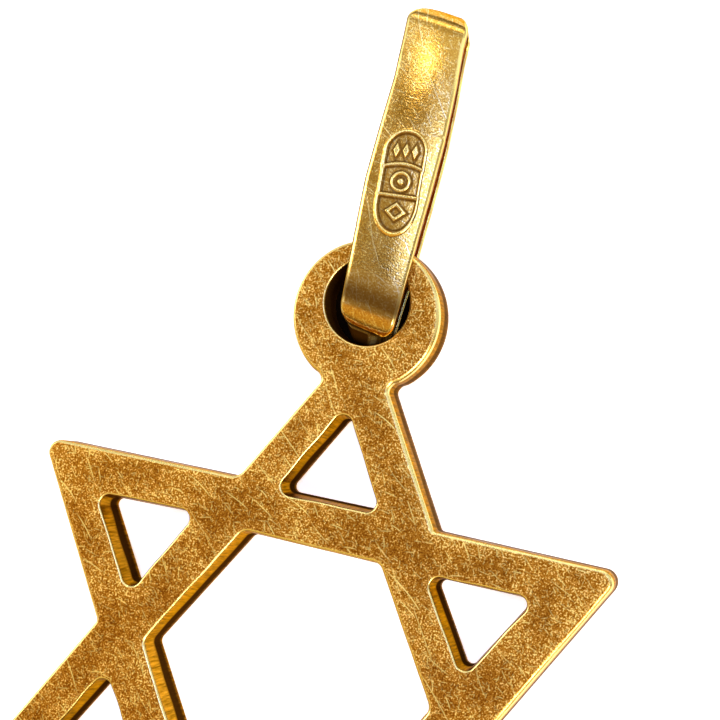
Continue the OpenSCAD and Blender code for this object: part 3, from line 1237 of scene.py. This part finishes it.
@dataclass(frozen=True)
class MarkPlace:
    """The three sunk fields in the front leg, with plain raised figures, in millimetres.

    across and along are the middle of the row of fields, turn its turn in degrees, half the half
    width of a field, sunk its depth and wall how wide its side is. lip is the height of its rim,
    lip_line where the rim runs and how wide it is. foot_line and figure_line are the lines of painted
    shade at the foot of the rim and round a figure and dark is their strength. figure is the stretch
    over which a figure rises, raised its height against the depth and rubbed how bright it is
    painted; the lip and the figures are rubbed and carry a painted highlight.
    The upper field starts at upper_low and is round above upper_round. The middle one reaches
    from middle_low to middle_high and is narrower by the share middle_side. The lower one ends
    at lower_high, is round below lower_round and is drawn out there by lower_drawn, and bow is
    the rise of the arched edges. The three lozenges of the row stand row_gap apart at row_at,
    with the outer ones lower by row_drop for each millimetre. ring is the radius of the ring, its
    half width and the radius of its dot. The single lozenge is at single_at, with an outline of
    twice hollow.
    """

    across: float = 0.055
    along: float = 4.91
    turn: float = 4.0
    half: float = 0.63
    sunk: float = 0.1
    wall: float = 0.05
    lip: float = 0.03
    lip_line: tuple[float, float] = (0.04, 0.035)
    foot_line: tuple[float, float] = (-0.045, 0.042)
    figure_line: tuple[float, float] = (0.035, 0.035)
    dark: float = 0.9
    figure: Band = Band(0.0225, -0.0225)
    raised: float = 0.9
    rubbed: float = 0.8
    upper_round: float = 0.98
    upper_low: float = 0.49
    middle_high: float = 0.4
    middle_low: float = -0.42
    middle_side: float = 0.97
    lower_high: float = -0.51
    lower_round: float = -0.72
    lower_drawn: float = 0.68
    bow: float = 0.13
    row: Lozenge = Lozenge(0.12, 0.27, 0.11)
    row_gap: float = 0.31
    row_at: float = 1.02
    row_drop: float = 0.06
    ring: Triple = (0.29, 0.055, 0.11)
    single: Lozenge = Lozenge(0.38, 0.32, 0.25)
    single_at: float = -0.98
    hollow: float = 0.06

    def relief(self, x: np.ndarray, y: np.ndarray) -> tuple[np.ndarray, np.ndarray, np.ndarray]:
        """Height, painted shade and rubbed, painted highlight of the mark place.

        Args:
            x: Places across the strip, in millimetres.
            y: Places along the strip, in millimetres.

        Returns:
            The height over the plain face, in millimetres, how dark the painted shade at each place is
            and how bright its rubbed and painted highlight is.
        """
        c, s = math.cos(math.radians(self.turn)), math.sin(math.radians(self.turn))
        u = (x - self.across) * c + (y - self.along) * s
        v = (y - self.along) * c - (x - self.across) * s
        height, dark, bright = np.zeros_like(u), np.zeros_like(u), np.zeros_like(u)
        for sunk_edge, figure_edge in zip(self._fields(u, v), self._figures(u, v)):
            depth = Band(0.0, -self.wall).at(sunk_edge)
            lip = ridge(sunk_edge, *self.lip_line)
            figure = self.figure.at(figure_edge) * depth
            height += self.lip * lip + self.sunk * (self.raised * figure - depth)
            # painted highlight on the rubbed lip and figure tops
            bright = np.maximum(bright, np.maximum(lip, self.rubbed * figure))
            # painted shade at the foot of the field's side and round each figure
            dark = np.maximum(dark, self.dark * ridge(sunk_edge, *self.foot_line))
            dark = np.maximum(dark, self.dark * ridge(figure_edge, *self.figure_line) * depth)
        return height, dark, bright * (1 - dark)

    def _fields(self, u: np.ndarray, v: np.ndarray) -> tuple[np.ndarray, np.ndarray, np.ndarray]:
        """Signed distances to the fields, below 0 inside.

        Args:
            u: Places across the mark place.
            v: Places along it.

        Returns:
            The distance to the upper, the middle and the lower field.
        """
        bow = self.bow * (1 - (u / self.half) ** 2)
        over = np.maximum(v - self.upper_round, 0)
        under = np.maximum(self.lower_round - v, 0) * self.lower_drawn
        upper = np.maximum(np.hypot(u, over) - self.half, self.upper_low + bow - v)
        middle = np.maximum(np.abs(u) - self.half * self.middle_side, v - (self.middle_high + bow))
        lower = np.maximum(np.hypot(u, under) - self.half, v - self.lower_high)
        return upper, np.maximum(middle, self.middle_low - v), lower

    def _figures(self, u: np.ndarray, v: np.ndarray) -> tuple[np.ndarray, np.ndarray, np.ndarray]:
        """Signed distances to the raised figures, below 0 inside.

        Args:
            u: Places across the mark place.
            v: Places along it.

        Returns:
            The distance to the three lozenges, to the ring with its dot and to the hollow lozenge.
        """
        beside = np.minimum(np.abs(np.abs(u) - self.row_gap), np.abs(u))
        row = self.row.edge(beside, v - self.row_at + self.row_drop * np.abs(u))
        radius, half_width, dot = self.ring
        far = np.hypot(u, v)
        ring = np.minimum(np.abs(far - radius) - half_width, far - dot)
        single = self.single.edge(u, v - self.single_at)
        return row, ring, np.abs(single + self.hollow) - self.hollow


def arc(centre: tuple[float, float], radius: float, angles: np.ndarray) -> tuple[np.ndarray, np.ndarray]:
    """Points on an arc.

    Args:
        centre: Its centre.
        radius: Its radius.
        angles: Directions of the points from the centre, in degrees.

    Returns:
        The points and their outward directions.
    """
    ways = np.stack([np.cos(np.radians(angles)), np.sin(np.radians(angles))], 1)
    return np.array(centre) + radius * ways, ways


def line(start: tuple[float, float], end: tuple[float, float], way: tuple[float, float],
         gap: float) -> tuple[np.ndarray, np.ndarray]:
    """Points on a straight stretch, without its ends.

    Args:
        start: First end.
        end: Second end.
        way: Its outward direction.
        gap: Usual distance between points.

    Returns:
        The points and their outward directions.
    """
    n = max(2, round(math.dist(start, end) / gap))
    share = (np.arange(1, n) / n)[:, None]
    return np.array(start) * (1 - share) + np.array(end) * share, np.tile(np.array(way, float), (n - 1, 1))


@dataclass
class StripBail:
    """The bail: a flat strip bent into a closed loop, with rounded edges and a crowned front.

    Sizes are in millimetres and degrees. spot is the lowest point of the loop over the star's
    centre, turn the turn of its bends against the strip, rim the rounding of the outer edges and
    inner that of the others, and side_runs say how far the rounding goes round the edge on the
    left and on the right. droop is how far the front leg falls off over droop_length to its upper
    end, from the height droop_low and fully droop_rise above it. sag is how far the lower rear
    bend reaches down into the hole, which is given by its centre and its radius. The sections lie
    gap apart, fine_gap within mark_reach of the marks and rear_gap on the rear leg. outer and
    inner_side are the heights over the path at which the two sides of the CAD strip are found.
    Its limits are smoothed even_passes times, by even_wide where sections are further apart than
    wide_gap and by even_close elsewhere. face_steps, rim_steps, back_steps and bend_steps divide
    the face, a rounding, the inner side and a bend. front_way is the stretch over which it turns to
    the front. The marked face lies above front_high, and the left edge, painted with shade, above
    edge_high and between edge_runs on its way round, where the painted shade grows over edge_dark.
    A painted dark reflection darkens the face towards the lower end over end_from, until end_to.
    dark is how dark both are, lip_run how far the way round goes on a rubbed mark, which paints it
    with the rim's polish as a highlight, and soot is the strength of the painted dark reflection on
    the wall. The rear bend sags below sag_low and before sag_end where that is over sag_least, and
    it is painted with shade over sag_dark. The inside of the lower end is painted with shade within
    the four inside bands, less by open_share on the right.
    """

    node: bpy.types.Object
    place: PlatePlace = field(default_factory=PlatePlace)
    mark: MarkPlace = field(default_factory=MarkPlace)
    spot: tuple[float, float] = (0.22, 11.34)
    lean: float = 1.3
    length: float = 10.7
    bend: float = 0.8
    thick: float = 0.4
    swell: float = 0.15
    turn: float = 7.5
    rim: float = 0.17
    inner: float = 0.08
    side_runs: tuple[float, float] = (1.5, 0.75)
    crown: float = 0.05
    droop: float = 0.09
    droop_length: float = 2.3
    droop_low: float = 0.9
    droop_rise: float = 1.2
    sag: float = 0.36
    hole: Triple = (0.02, 12.34, 1.37)
    gap: float = 0.11
    fine_gap: float = 0.024
    rear_gap: float = 0.2
    mark_reach: float = 1.78
    face_steps: int = 88
    rim_steps: int = 7
    back_steps: int = 14
    bend_steps: int = 16
    outer: tuple[float, float] = (-0.1, 0.05)
    inner_side: tuple[float, float] = (-0.45, -0.3)
    even_passes: int = 6
    even_wide: float = 0.25
    even_close: float = 0.4
    wide_gap: float = 0.05
    front_way: Band = Band(0.0, 0.625)
    front_high: float = 1.5
    edge_high: float = 1.2
    edge_runs: tuple[float, float] = (0.5, 1.6)
    edge_dark: Band = Band(0.5, 0.8)
    end_from: Band = Band(2.2, 1.1)
    end_to: Band = Band(0.5, 0.95)
    dark: float = 0.9
    lip_run: float = 0.25
    soot: float = 0.2
    sag_low: Band = Band(1.75, 1.15)
    sag_end: Band = Band(1.9, 0.9)
    sag_least: float = 0.02
    sag_dark: Band = Band(0.7, 0.2)
    inside_high: Band = Band(2.05, 1.7)
    inside_end: Band = Band(3.0, 1.8)
    inside_low: Band = Band(0.42, 0.52)
    inside_open: Band = Band(0.7, 0.85)
    open_share: float = 0.8

    def _axes(self) -> tuple[np.ndarray, np.ndarray]:
        """The directions across and along the loop, seen from above."""
        t = math.radians(self.turn)
        return np.array([math.cos(t), -math.sin(t)]), np.array([math.sin(t), math.cos(t)])

    def _leaned(self, flat: np.ndarray, sign: int = 1) -> np.ndarray:
        """Flat places or directions turned by the bail's lean, or back where the sign is -1."""
        c, s = math.cos(math.radians(self.lean)), sign * math.sin(math.radians(self.lean))
        return np.stack([flat[:, 0] * c + flat[:, 1] * s, flat[:, 1] * c - flat[:, 0] * s], 1)

    def _to_loop(self, points: np.ndarray) -> np.ndarray:
        """Row points to the loop's own across, along and up.

        Args:
            points: Row points in millimetres.

        Returns:
            The same points in the loop's frame.
        """
        flat = points[:, :2] - np.array(self.spot) + np.array([self.place.mid_x, self.place.mid_y])
        flat = self._leaned(flat, -1)
        flat[:, 1] -= self.length / 2
        across, along = self._axes()
        return np.column_stack([flat @ across, flat @ along + self.length / 2, points[:, 2]])

    def _to_strip(self, loop: np.ndarray) -> np.ndarray:
        """Loop points to the strip's own across and along, seen from above."""
        across, along = self._axes()
        flat = loop[:, :1] * across + (loop[:, 1:2] - self.length / 2) * along
        return flat + np.array([0, self.length / 2])

    def _to_star(self, loop: np.ndarray) -> np.ndarray:
        """Loop points to the flat frame of the star, with its centre at 0, 0."""
        return self._leaned(self._to_strip(loop)) + np.array(self.spot)

    def _to_row(self, loop: np.ndarray) -> np.ndarray:
        """Loop points to the row frame, in millimetres."""
        flat = self._to_star(loop) - np.array([self.place.mid_x, self.place.mid_y])
        return np.column_stack([flat, loop[:, 2]])

    def _path(self) -> tuple[np.ndarray, np.ndarray]:
        """The outer side of the loop, seen from the side.

        Returns:
            Points and outward directions, each along and up, once round the closed loop.
        """
        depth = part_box(self.node.name)[1].z / MM - self.swell
        half = self.length / 2 - self.bend
        rise = (half**2 - self.swell**2) / (2 * self.swell)
        radius = self.swell + rise + self.bend
        lean = math.degrees(math.atan(half / rise))
        b, far, n = self.bend, self.length, self.bend_steps + 1
        first, last = self.mark.along - self.mark_reach, self.mark.along + self.mark_reach
        ys = np.concatenate([np.arange(b, first, self.gap), np.arange(first, last, self.fine_gap),
                             np.arange(last, far - b, self.gap)])
        stretches = [
            arc((far / 2, depth - b - rise), radius, np.degrees(np.arccos((ys - far / 2) / radius))),
            arc((far - b, depth - b), b, np.linspace(90 - lean, 0, n)),
            line((far, depth - b), (far, b), (1, 0), self.gap),
            arc((far - b, b), b, np.linspace(0, -90, n)),
            line((far - b, 0), (b, 0), (0, -1), self.rear_gap),
            arc((b, b), b, np.linspace(270, 180, n)),
            line((0, b), (0, depth - b), (-1, 0), self.gap),
            arc((b, depth - b), b, np.linspace(180, 90 + lean, n)[:-1]),
        ]
        points, ways = zip(*stretches)
        return np.concatenate(points), np.concatenate(ways)

    def _limits(self, path: np.ndarray, ways: np.ndarray) -> np.ndarray:
        """Where the strip ends on both sides, read from the CAD node.

        Args:
            path: Points of the outer side, along and up.
            ways: Outward direction at each.

        Returns:
            For each point the outer left, outer right, inner left and inner right end.
        """
        points, tri = raw_mesh(self.node)
        loop = self._to_loop(points)
        sides = np.concatenate([tri[:, [0, 1]], tri[:, [1, 2]], tri[:, [2, 0]]])
        sides = np.unique(np.sort(sides, 1), axis=0)
        a, b = loop[sides[:, 0]], loop[sides[:, 1]]
        found = np.full((len(path), 4), np.nan)
        for i, (spot, way) in enumerate(zip(path, ways)):
            ahead = np.array([-way[1], way[0]])
            da, db = (a[:, 1:] - spot) @ ahead, (b[:, 1:] - spot) @ ahead
            cut = (da > 0) != (db > 0)
            share = (da[cut] / (da[cut] - db[cut]))[:, None]
            hit = a[cut] * (1 - share) + b[cut] * share
            up = (hit[:, 1:] - spot) @ way
            outer, inner = (hit[(up > low) & (up < high), 0] for low, high in (self.outer, self.inner_side))
            if len(outer) > 1 and len(inner) > 1:
                found[i] = outer.min(), outer.max(), inner.min(), inner.max()
        index = np.arange(len(path))
        for k in range(4):
            good = ~np.isnan(found[:, k])
            found[:, k] = np.interp(index, index[good], found[good, k])
        gap = np.linalg.norm(np.roll(path, -1, 0) - path, axis=1)
        weight = np.where((gap > self.wide_gap)[:, None], self.even_wide, self.even_close)
        for _ in range(self.even_passes):
            found = found * (1 - weight) + weight * (np.roll(found, 1, 0) + np.roll(found, -1, 0)) / 2
        return found

    def _ring(self, limits: np.ndarray, front: float) -> tuple[np.ndarray, np.ndarray]:
        """One section of the strip.

        Args:
            limits: Outer left, outer right, inner left and inner right end.
            front: How much of the crown shows, from 0 to 1.

        Returns:
            Points across and up from the outer side, once round from the middle of the inner
            side, and the way round the edge of each, from 0 outside to 4 inside.
        """
        left, right, in_left, in_right = limits
        fall = self.crown * front
        corners = np.array([[in_left, -self.thick], [left, -fall], [right, -fall], [in_right, -self.thick]])
        middle = (corners[0] + corners[3]) / 2
        ends = [middle, *corners, middle]
        t = np.linspace(0, 1, self.rim_steps + 1)[:, None]
        rounds = []
        for k, (here, radius) in enumerate(zip(corners, (self.inner, self.rim, self.rim, self.inner))):
            before, after = ends[k] - here, ends[k + 2] - here
            before, after = before / np.linalg.norm(before), after / np.linalg.norm(after)
            rounds.append(here + (1 - t) ** 2 * before * radius + t**2 * after * radius)
        share = (np.arange(self.back_steps // 2) / (self.back_steps // 2))[:, None]
        first = middle * (1 - share) + rounds[0][0] * share
        last = rounds[3][-1] * (1 - share) + middle * share
        share = np.arange(1, self.face_steps) / self.face_steps
        face_x = rounds[1][-1][0] * (1 - share) + rounds[2][0][0] * share
        centre, half = (left + right) / 2, (right - left) / 2
        face = np.stack([face_x, -fall * ((face_x - centre) / half) ** 2], 1)
        for k, sign in ((1, 1), (2, -1)):
            near = (rounds[k] - corners[k])[:, 0] * sign
            rounds[k][:, 1] += fall * (1 - ((half - np.clip(near, 0, half)) / half) ** 2)
        sides = [(rounds[0][-1] + rounds[1][0]) / 2, (rounds[2][-1] + rounds[3][0]) / 2]
        ring = np.concatenate([first, rounds[0], sides[:1], rounds[1], face, rounds[2], sides[1:],
                               rounds[3], last[1:]])
        way = t[:, 0]
        left_run, right_run = self.side_runs
        run = np.concatenate([np.full(len(first), 4.0), 4 - way, [2.0], left_run * (1 - way),
                              np.zeros(len(face)), right_run * way, [2.0], 3 + way,
                              np.full(len(last) - 1, 4.0)])
        return ring, run

    def _marked(self, loop: np.ndarray, run: np.ndarray) -> tuple[np.ndarray, np.ndarray, np.ndarray]:
        """Sinks the mark place and paints shade and a dark reflection on stretches of the strip.

        Args:
            loop: Points across, along and up.
            run: Way round the edge of each.

        Returns:
            How much each point rises, its way round the edge and how dark its painted shade is.
        """
        strip = self._to_strip(loop)
        height, dark, bright = self.mark.relief(strip[:, 0], strip[:, 1])
        first, last = self.edge_runs
        face = (run < first) & (loop[:, 2] > self.front_high)
        rise = np.where(face, height, 0)
        along, high = loop[:, 1], loop[:, 2] + rise
        # painted dark reflection towards the lower end of the face
        end = self.dark * self.end_from.at(along) * self.end_to.at(along)
        # painted shade on the left edge of the front leg
        edge = (run > first) & (run < last) & (high > self.edge_high) & (loop[:, 0] < 0)
        stain = np.where(face, np.maximum(dark, end), self.dark * edge * self.edge_dark.at(run))
        # rubbed marks take the rim's polish, partly a painted highlight
        return rise, np.where(face, np.maximum(run, self.lip_run * bright), run), stain

    def _drooped(self, loop: np.ndarray) -> np.ndarray:
        """How far each point of the loop falls off towards the upper end."""
        end = np.clip((loop[:, 1] - (self.length - self.droop_length)) / self.droop_length, 0, 1)
        return self.droop * end**2 * np.clip((loop[:, 2] - self.droop_low) / self.droop_rise, 0, 1)

    def _sagged(self, loop: np.ndarray) -> tuple[np.ndarray, np.ndarray]:
        """Lets the hidden lower rear bend reach down to just inside the wall of the hole.

        Args:
            loop: Points across, along and up.

        Returns:
            The points and how dark the painted shade on each one is.
        """
        loop = loop.copy()
        low = self.sag_low.at(loop[:, 2]) * self.sag_end.at(loop[:, 1])
        loop[:, 1] -= self.sag * low
        off = self._to_star(loop) - np.array(self.hole[:2])
        far = np.linalg.norm(off, axis=1)
        past = (far > self.hole[2]) & (low > self.sag_least) & (off[:, 1] < 0)
        push = -off / far[:, None] * np.where(past, far - self.hole[2], 0.0)[:, None]
        turned = self._leaned(push, -1)
        across, along = self._axes()
        loop[:, 0] += turned @ across
        loop[:, 1] += turned @ along
        # painted shade inside the lower end of the loop, between the legs, lighter on the right
        inside = self.inside_high.at(loop[:, 2]) * self.inside_end.at(loop[:, 1])
        inside *= self.inside_low.at(loop[:, 2]) * (1 - self.open_share * self.inside_open.at(loop[:, 0]))
        # the sagged rear bend is painted with shade as well
        return loop, np.maximum(low * self.sag_dark.at(loop[:, 1]), inside)

    def build(self, material: bpy.types.Material, limits: Box) -> bpy.types.Object:
        """Builds the bail.

        Args:
            material: Its gold.
            limits: Lowest and highest corner of the CAD model.

        Returns:
            The piece.
        """
        path, ways = self._path()
        loops, runs, rounds = [], [], []
        for spot, way, limit in zip(path, ways, self._limits(path, ways)):
            ring, run = self._ring(limit, float(self.front_way.at(way[1])))
            loops.append(np.column_stack([ring[:, 0], spot + ring[:, 1:] * way]))
            runs.append(run)
            rounds.append(np.linalg.norm(np.roll(ring, -1, 0) - ring, axis=1))
        count, n = len(path), len(runs[0])
        loop, run = np.concatenate(loops), np.concatenate(runs)
        rise, run, stain = self._marked(loop, run)
        loop[:, 2] += rise
        loop[:, 2] -= self._drooped(loop)
        loop, low = self._sagged(loop)
        skin = Skin()
        # stain here is painted shade: on the marks, the left edge, the lower end and the sagged bend
        grid = skin.add(loop, run=run, soot=self.soot, stain=np.maximum(stain, low)).reshape(count, n)
        ahead, aside = np.roll(grid, -1, 0), np.roll(grid, -1, 1)
        quads = np.stack([grid, aside, np.roll(ahead, -1, 1), ahead], 2).reshape(-1, 4)
        gaps = np.linalg.norm(np.roll(path, -1, 0) - path, axis=1)
        down = np.concatenate([[0.0], np.cumsum(gaps)])[:, None] + np.zeros((1, n))
        around = np.column_stack([np.zeros(count), np.cumsum(np.stack(rounds), 1)])
        around = around - around[:, n // 2:n // 2 + 1]
        later = np.roll(around, -1, 0)
        corners = ((around[:, :-1], down[:-1]), (around[:, 1:], down[:-1]),
                   (later[:, 1:], down[1:]), (later[:, :-1], down[1:]))
        places = np.stack([np.stack(pair, 2) for pair in corners], 2).reshape(-1, 4, 2)
        row = self._to_row(loop)
        a, b, c, e = (row[quads[:, k]] for k in range(4))
        if (np.cross(a, b) * c + np.cross(a, c) * e).sum() < 0:
            quads, places = quads[:, ::-1], places[:, ::-1]
        piece = skin.piece("bail_gold", row, quads.tolist(), places)
        finish_piece(piece, "bail", material, limits)
        return piece


@dataclass(frozen=True)
class SoftLight:
    """One flat studio light: its way from the pendant, its width and depth in metres and its glow."""

    name: str
    way: Triple
    wide: float
    deep: float
    glow: float


# Colours of the room from the side of the lowest tip, 0, to the side of the bail's upper end, 1
SKY_WARM: tuple[tuple[float, Color], ...] = (
    (0.0, (0.8, 0.65, 0.3)), (0.33, (0.95, 0.68, 0.22)), (0.4, (0.75, 0.5, 0.12)))
SKY_GREY: tuple[tuple[float, float], ...] = (
    (0.425, 0.06), (0.491, 0.05), (0.503, 0.5), (0.53, 0.64), (0.575, 0.45), (0.63, 0.42),
    (0.655, 0.8), (0.68, 1.2), (0.72, 1.1), (0.76, 0.7), (1.0, 0.8))


def cool_grey(bright: float) -> Color:
    """A grey of the room, which turns bluer the brighter it is."""
    return bright, 1.12 * bright ** 1.2, 1.3 * bright ** 1.7


@dataclass(frozen=True)
class Studio:
    """The pale floor, the lights, the room and the camera.

    eye and turn are the camera's place in millimetres and its turn in degrees, lens and film its
    focal length and film width in millimetres, picture the picture's side and shift how far its
    middle is off, in pixels, and near_far the least and greatest distance that it sees, in metres.
    floor_side is the floor's width and away the distance of the lights, in metres, and floor_glow
    how much the floor shines. Under the pendant's eye, at eye_shade, the floor has the colour
    floor_dark, which turns into floor_light over shade_edge, in millimetres. The room has a blue
    patch overhead within the four stripe bands. It is dimmer low down, from low_share at the
    start of high_band, and brighter on the right, by up to side_share over side_band.
    """

    eye: Triple = (14.82227, 2.48774, 57.86792)
    turn: Triple = (5.698603, 13.705326, 13.26613)
    lens: float = 90.0
    film: float = 36.0
    picture: int = 720
    shift: tuple[float, float] = (-0.5, 0.5)
    near_far: tuple[float, float] = (0.001, 10.0)
    floor_side: float = 0.8
    floor_glow: float = 0.68
    floor_light: Color = (0.9, 0.9, 0.9)
    floor_dark: Color = (0.01, 0.006, 0.003)
    eye_shade: Triple = (-0.1, 6.85, 0.0)
    shade_edge: Band = Band(1.75, 2.15)
    away: float = 0.3
    stripe: Color = (2.6, 3.7, 9.0)
    stripe_left: Band = Band(-0.19, -0.11)
    stripe_right: Band = Band(0.22, 0.4)
    stripe_low: Band = Band(-0.05, 0.01)
    stripe_high: Band = Band(0.2, 0.27)
    high_band: Band = Band(0.0, 0.5)
    low_share: float = 0.25
    side_band: Band = Band(0.6, 0.95)
    side_share: float = 0.5
    lights: tuple[SoftLight, ...] = (
        SoftLight("spark_light", (-0.24, 0.37, 0.9), 0.03, 0.02, 9.0),
        SoftLight("key_light", (0.55, -0.4, 0.73), 0.12, 0.12, 8.5),
        SoftLight("left_light", (-0.75, 0.1, 0.65), 0.12, 0.2, 4.0),
        SoftLight("back_light", (0.0, 0.85, 0.5), 0.2, 0.08, 2.0),
    )

    def build(self) -> None:
        """Lays the floor, sets the lights and places the camera."""
        self._floor()
        for light in self.lights:
            self._light(light)
        self._sky()
        self._camera()

    def _floor(self) -> None:
        """A plain pale floor under the pendant, with the soft shade under its eye."""
        h = self.floor_side / 2
        mesh = bpy.data.meshes.new("floor")
        mesh.from_pydata([(-h, -h, 0), (h, -h, 0), (h, h, 0), (-h, h, 0)], [], [(0, 1, 2, 3)])
        material = bpy.data.materials.new("pale_floor")
        material.use_nodes = True
        board = material.node_tree.nodes["Principled BSDF"].inputs
        d = NodeDesk(material.node_tree)
        place = d.put("ShaderNodeTexCoord").outputs["Object"]
        shade = tuple(v * MM for v in self.eye_shade)
        away = d.put("ShaderNodeVectorMath", {"operation": "DISTANCE"}, {0: place, 1: shade})
        edge = Band(self.shade_edge.start * MM, self.shade_edge.end * MM)
        lit = d.span(away.outputs["Value"], edge)
        d.feed(d.blend(lit, self.floor_dark, self.floor_light), board["Base Color"])
        d.feed(d.times(lit, self.floor_glow), board["Emission Strength"])
        d.feed((1.0, 1.0, 1.0), board["Emission Color"])
        d.feed(1.0, board["Roughness"])
        d.feed(0.0, board["Specular IOR Level"])
        mesh.materials.append(material)
        floor = bpy.data.objects.new("floor", mesh)
        bpy.context.scene.collection.objects.link(floor)
        floor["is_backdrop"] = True

    def _light(self, light: SoftLight) -> None:
        """Sets one flat light and aims it at the pendant.

        Args:
            light: The light.
        """
        data = bpy.data.lights.new(light.name, "AREA")
        data.shape = "RECTANGLE"
        data.size, data.size_y = light.wide, light.deep
        data.energy = light.glow * math.pi * light.wide * light.deep
        lamp = bpy.data.objects.new(light.name, data)
        bpy.context.scene.collection.objects.link(lamp)
        lamp.location = Vector(light.way).normalized() * self.away
        lamp.rotation_euler = (-lamp.location).to_track_quat("-Z", "Y").to_euler()

    def _sky(self) -> None:
        """A soft room, dimmer low down than overhead."""
        world = bpy.data.worlds.new("soft_room")
        world.use_nodes = True
        world.node_tree.nodes.clear()
        d = NodeDesk(world.node_tree)
        way = d.put("ShaderNodeTexCoord").outputs["Generated"]
        x, y, z = d.put("ShaderNodeSeparateXYZ", None, {0: way}).outputs
        cool = tuple((at, cool_grey(bright)) for at, bright in SKY_GREY)
        band = d.ramp(d.plus(d.times(y, 0.5), 0.5), SKY_WARM + cool)
        across = d.between(x, self.stripe_left, self.stripe_right)
        along = d.between(y, self.stripe_low, self.stripe_high)
        tone = d.blend(d.times(across, along), band, self.stripe)
        low = d.plus(d.span(z, self.high_band, self.low_share),
                     d.span(x, self.side_band, 0.0, self.side_share))
        tone = d.blend(1.0, tone, d.grey(low), "MULTIPLY")
        light = d.put("ShaderNodeBackground", None, {"Color": tone, "Strength": 1.0})
        d.feed(light.outputs[0], d.put("ShaderNodeOutputWorld").inputs[0])
        bpy.context.scene.world = world

    def _camera(self) -> None:
        """A camera at the photograph's angle."""
        data = bpy.data.cameras.new("photo_camera")
        data.sensor_width = self.film
        data.lens = self.lens
        data.shift_x, data.shift_y = (pixels / self.picture for pixels in self.shift)
        data.clip_start, data.clip_end = self.near_far
        camera = bpy.data.objects.new("photo_camera", data)
        bpy.context.scene.collection.objects.link(camera)
        camera.location = Vector(self.eye) * MM
        camera.rotation_euler = Euler([math.radians(a) for a in self.turn], "XYZ")
        bpy.context.scene.camera = camera


def main() -> None:
    """Dresses the pendant, piece by piece."""
    logging.basicConfig(level=logging.INFO, format="%(name)s: %(message)s")
    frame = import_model()
    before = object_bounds()
    shop = GoldShop()
    plate = StarPlate(frame["nodes"]["star_plate"]).build(shop.make(PLATE_GOLD), before)
    bail = StripBail(frame["nodes"]["bail"]).build(shop.make(BAIL_GOLD), before)
    Studio().build()
    bpy.context.scene.view_settings.view_transform = "Standard"
    LOG.info("pieces: %s", ", ".join(piece.name for piece in (plate, bail)))


if __name__ == "__main__":
    main()
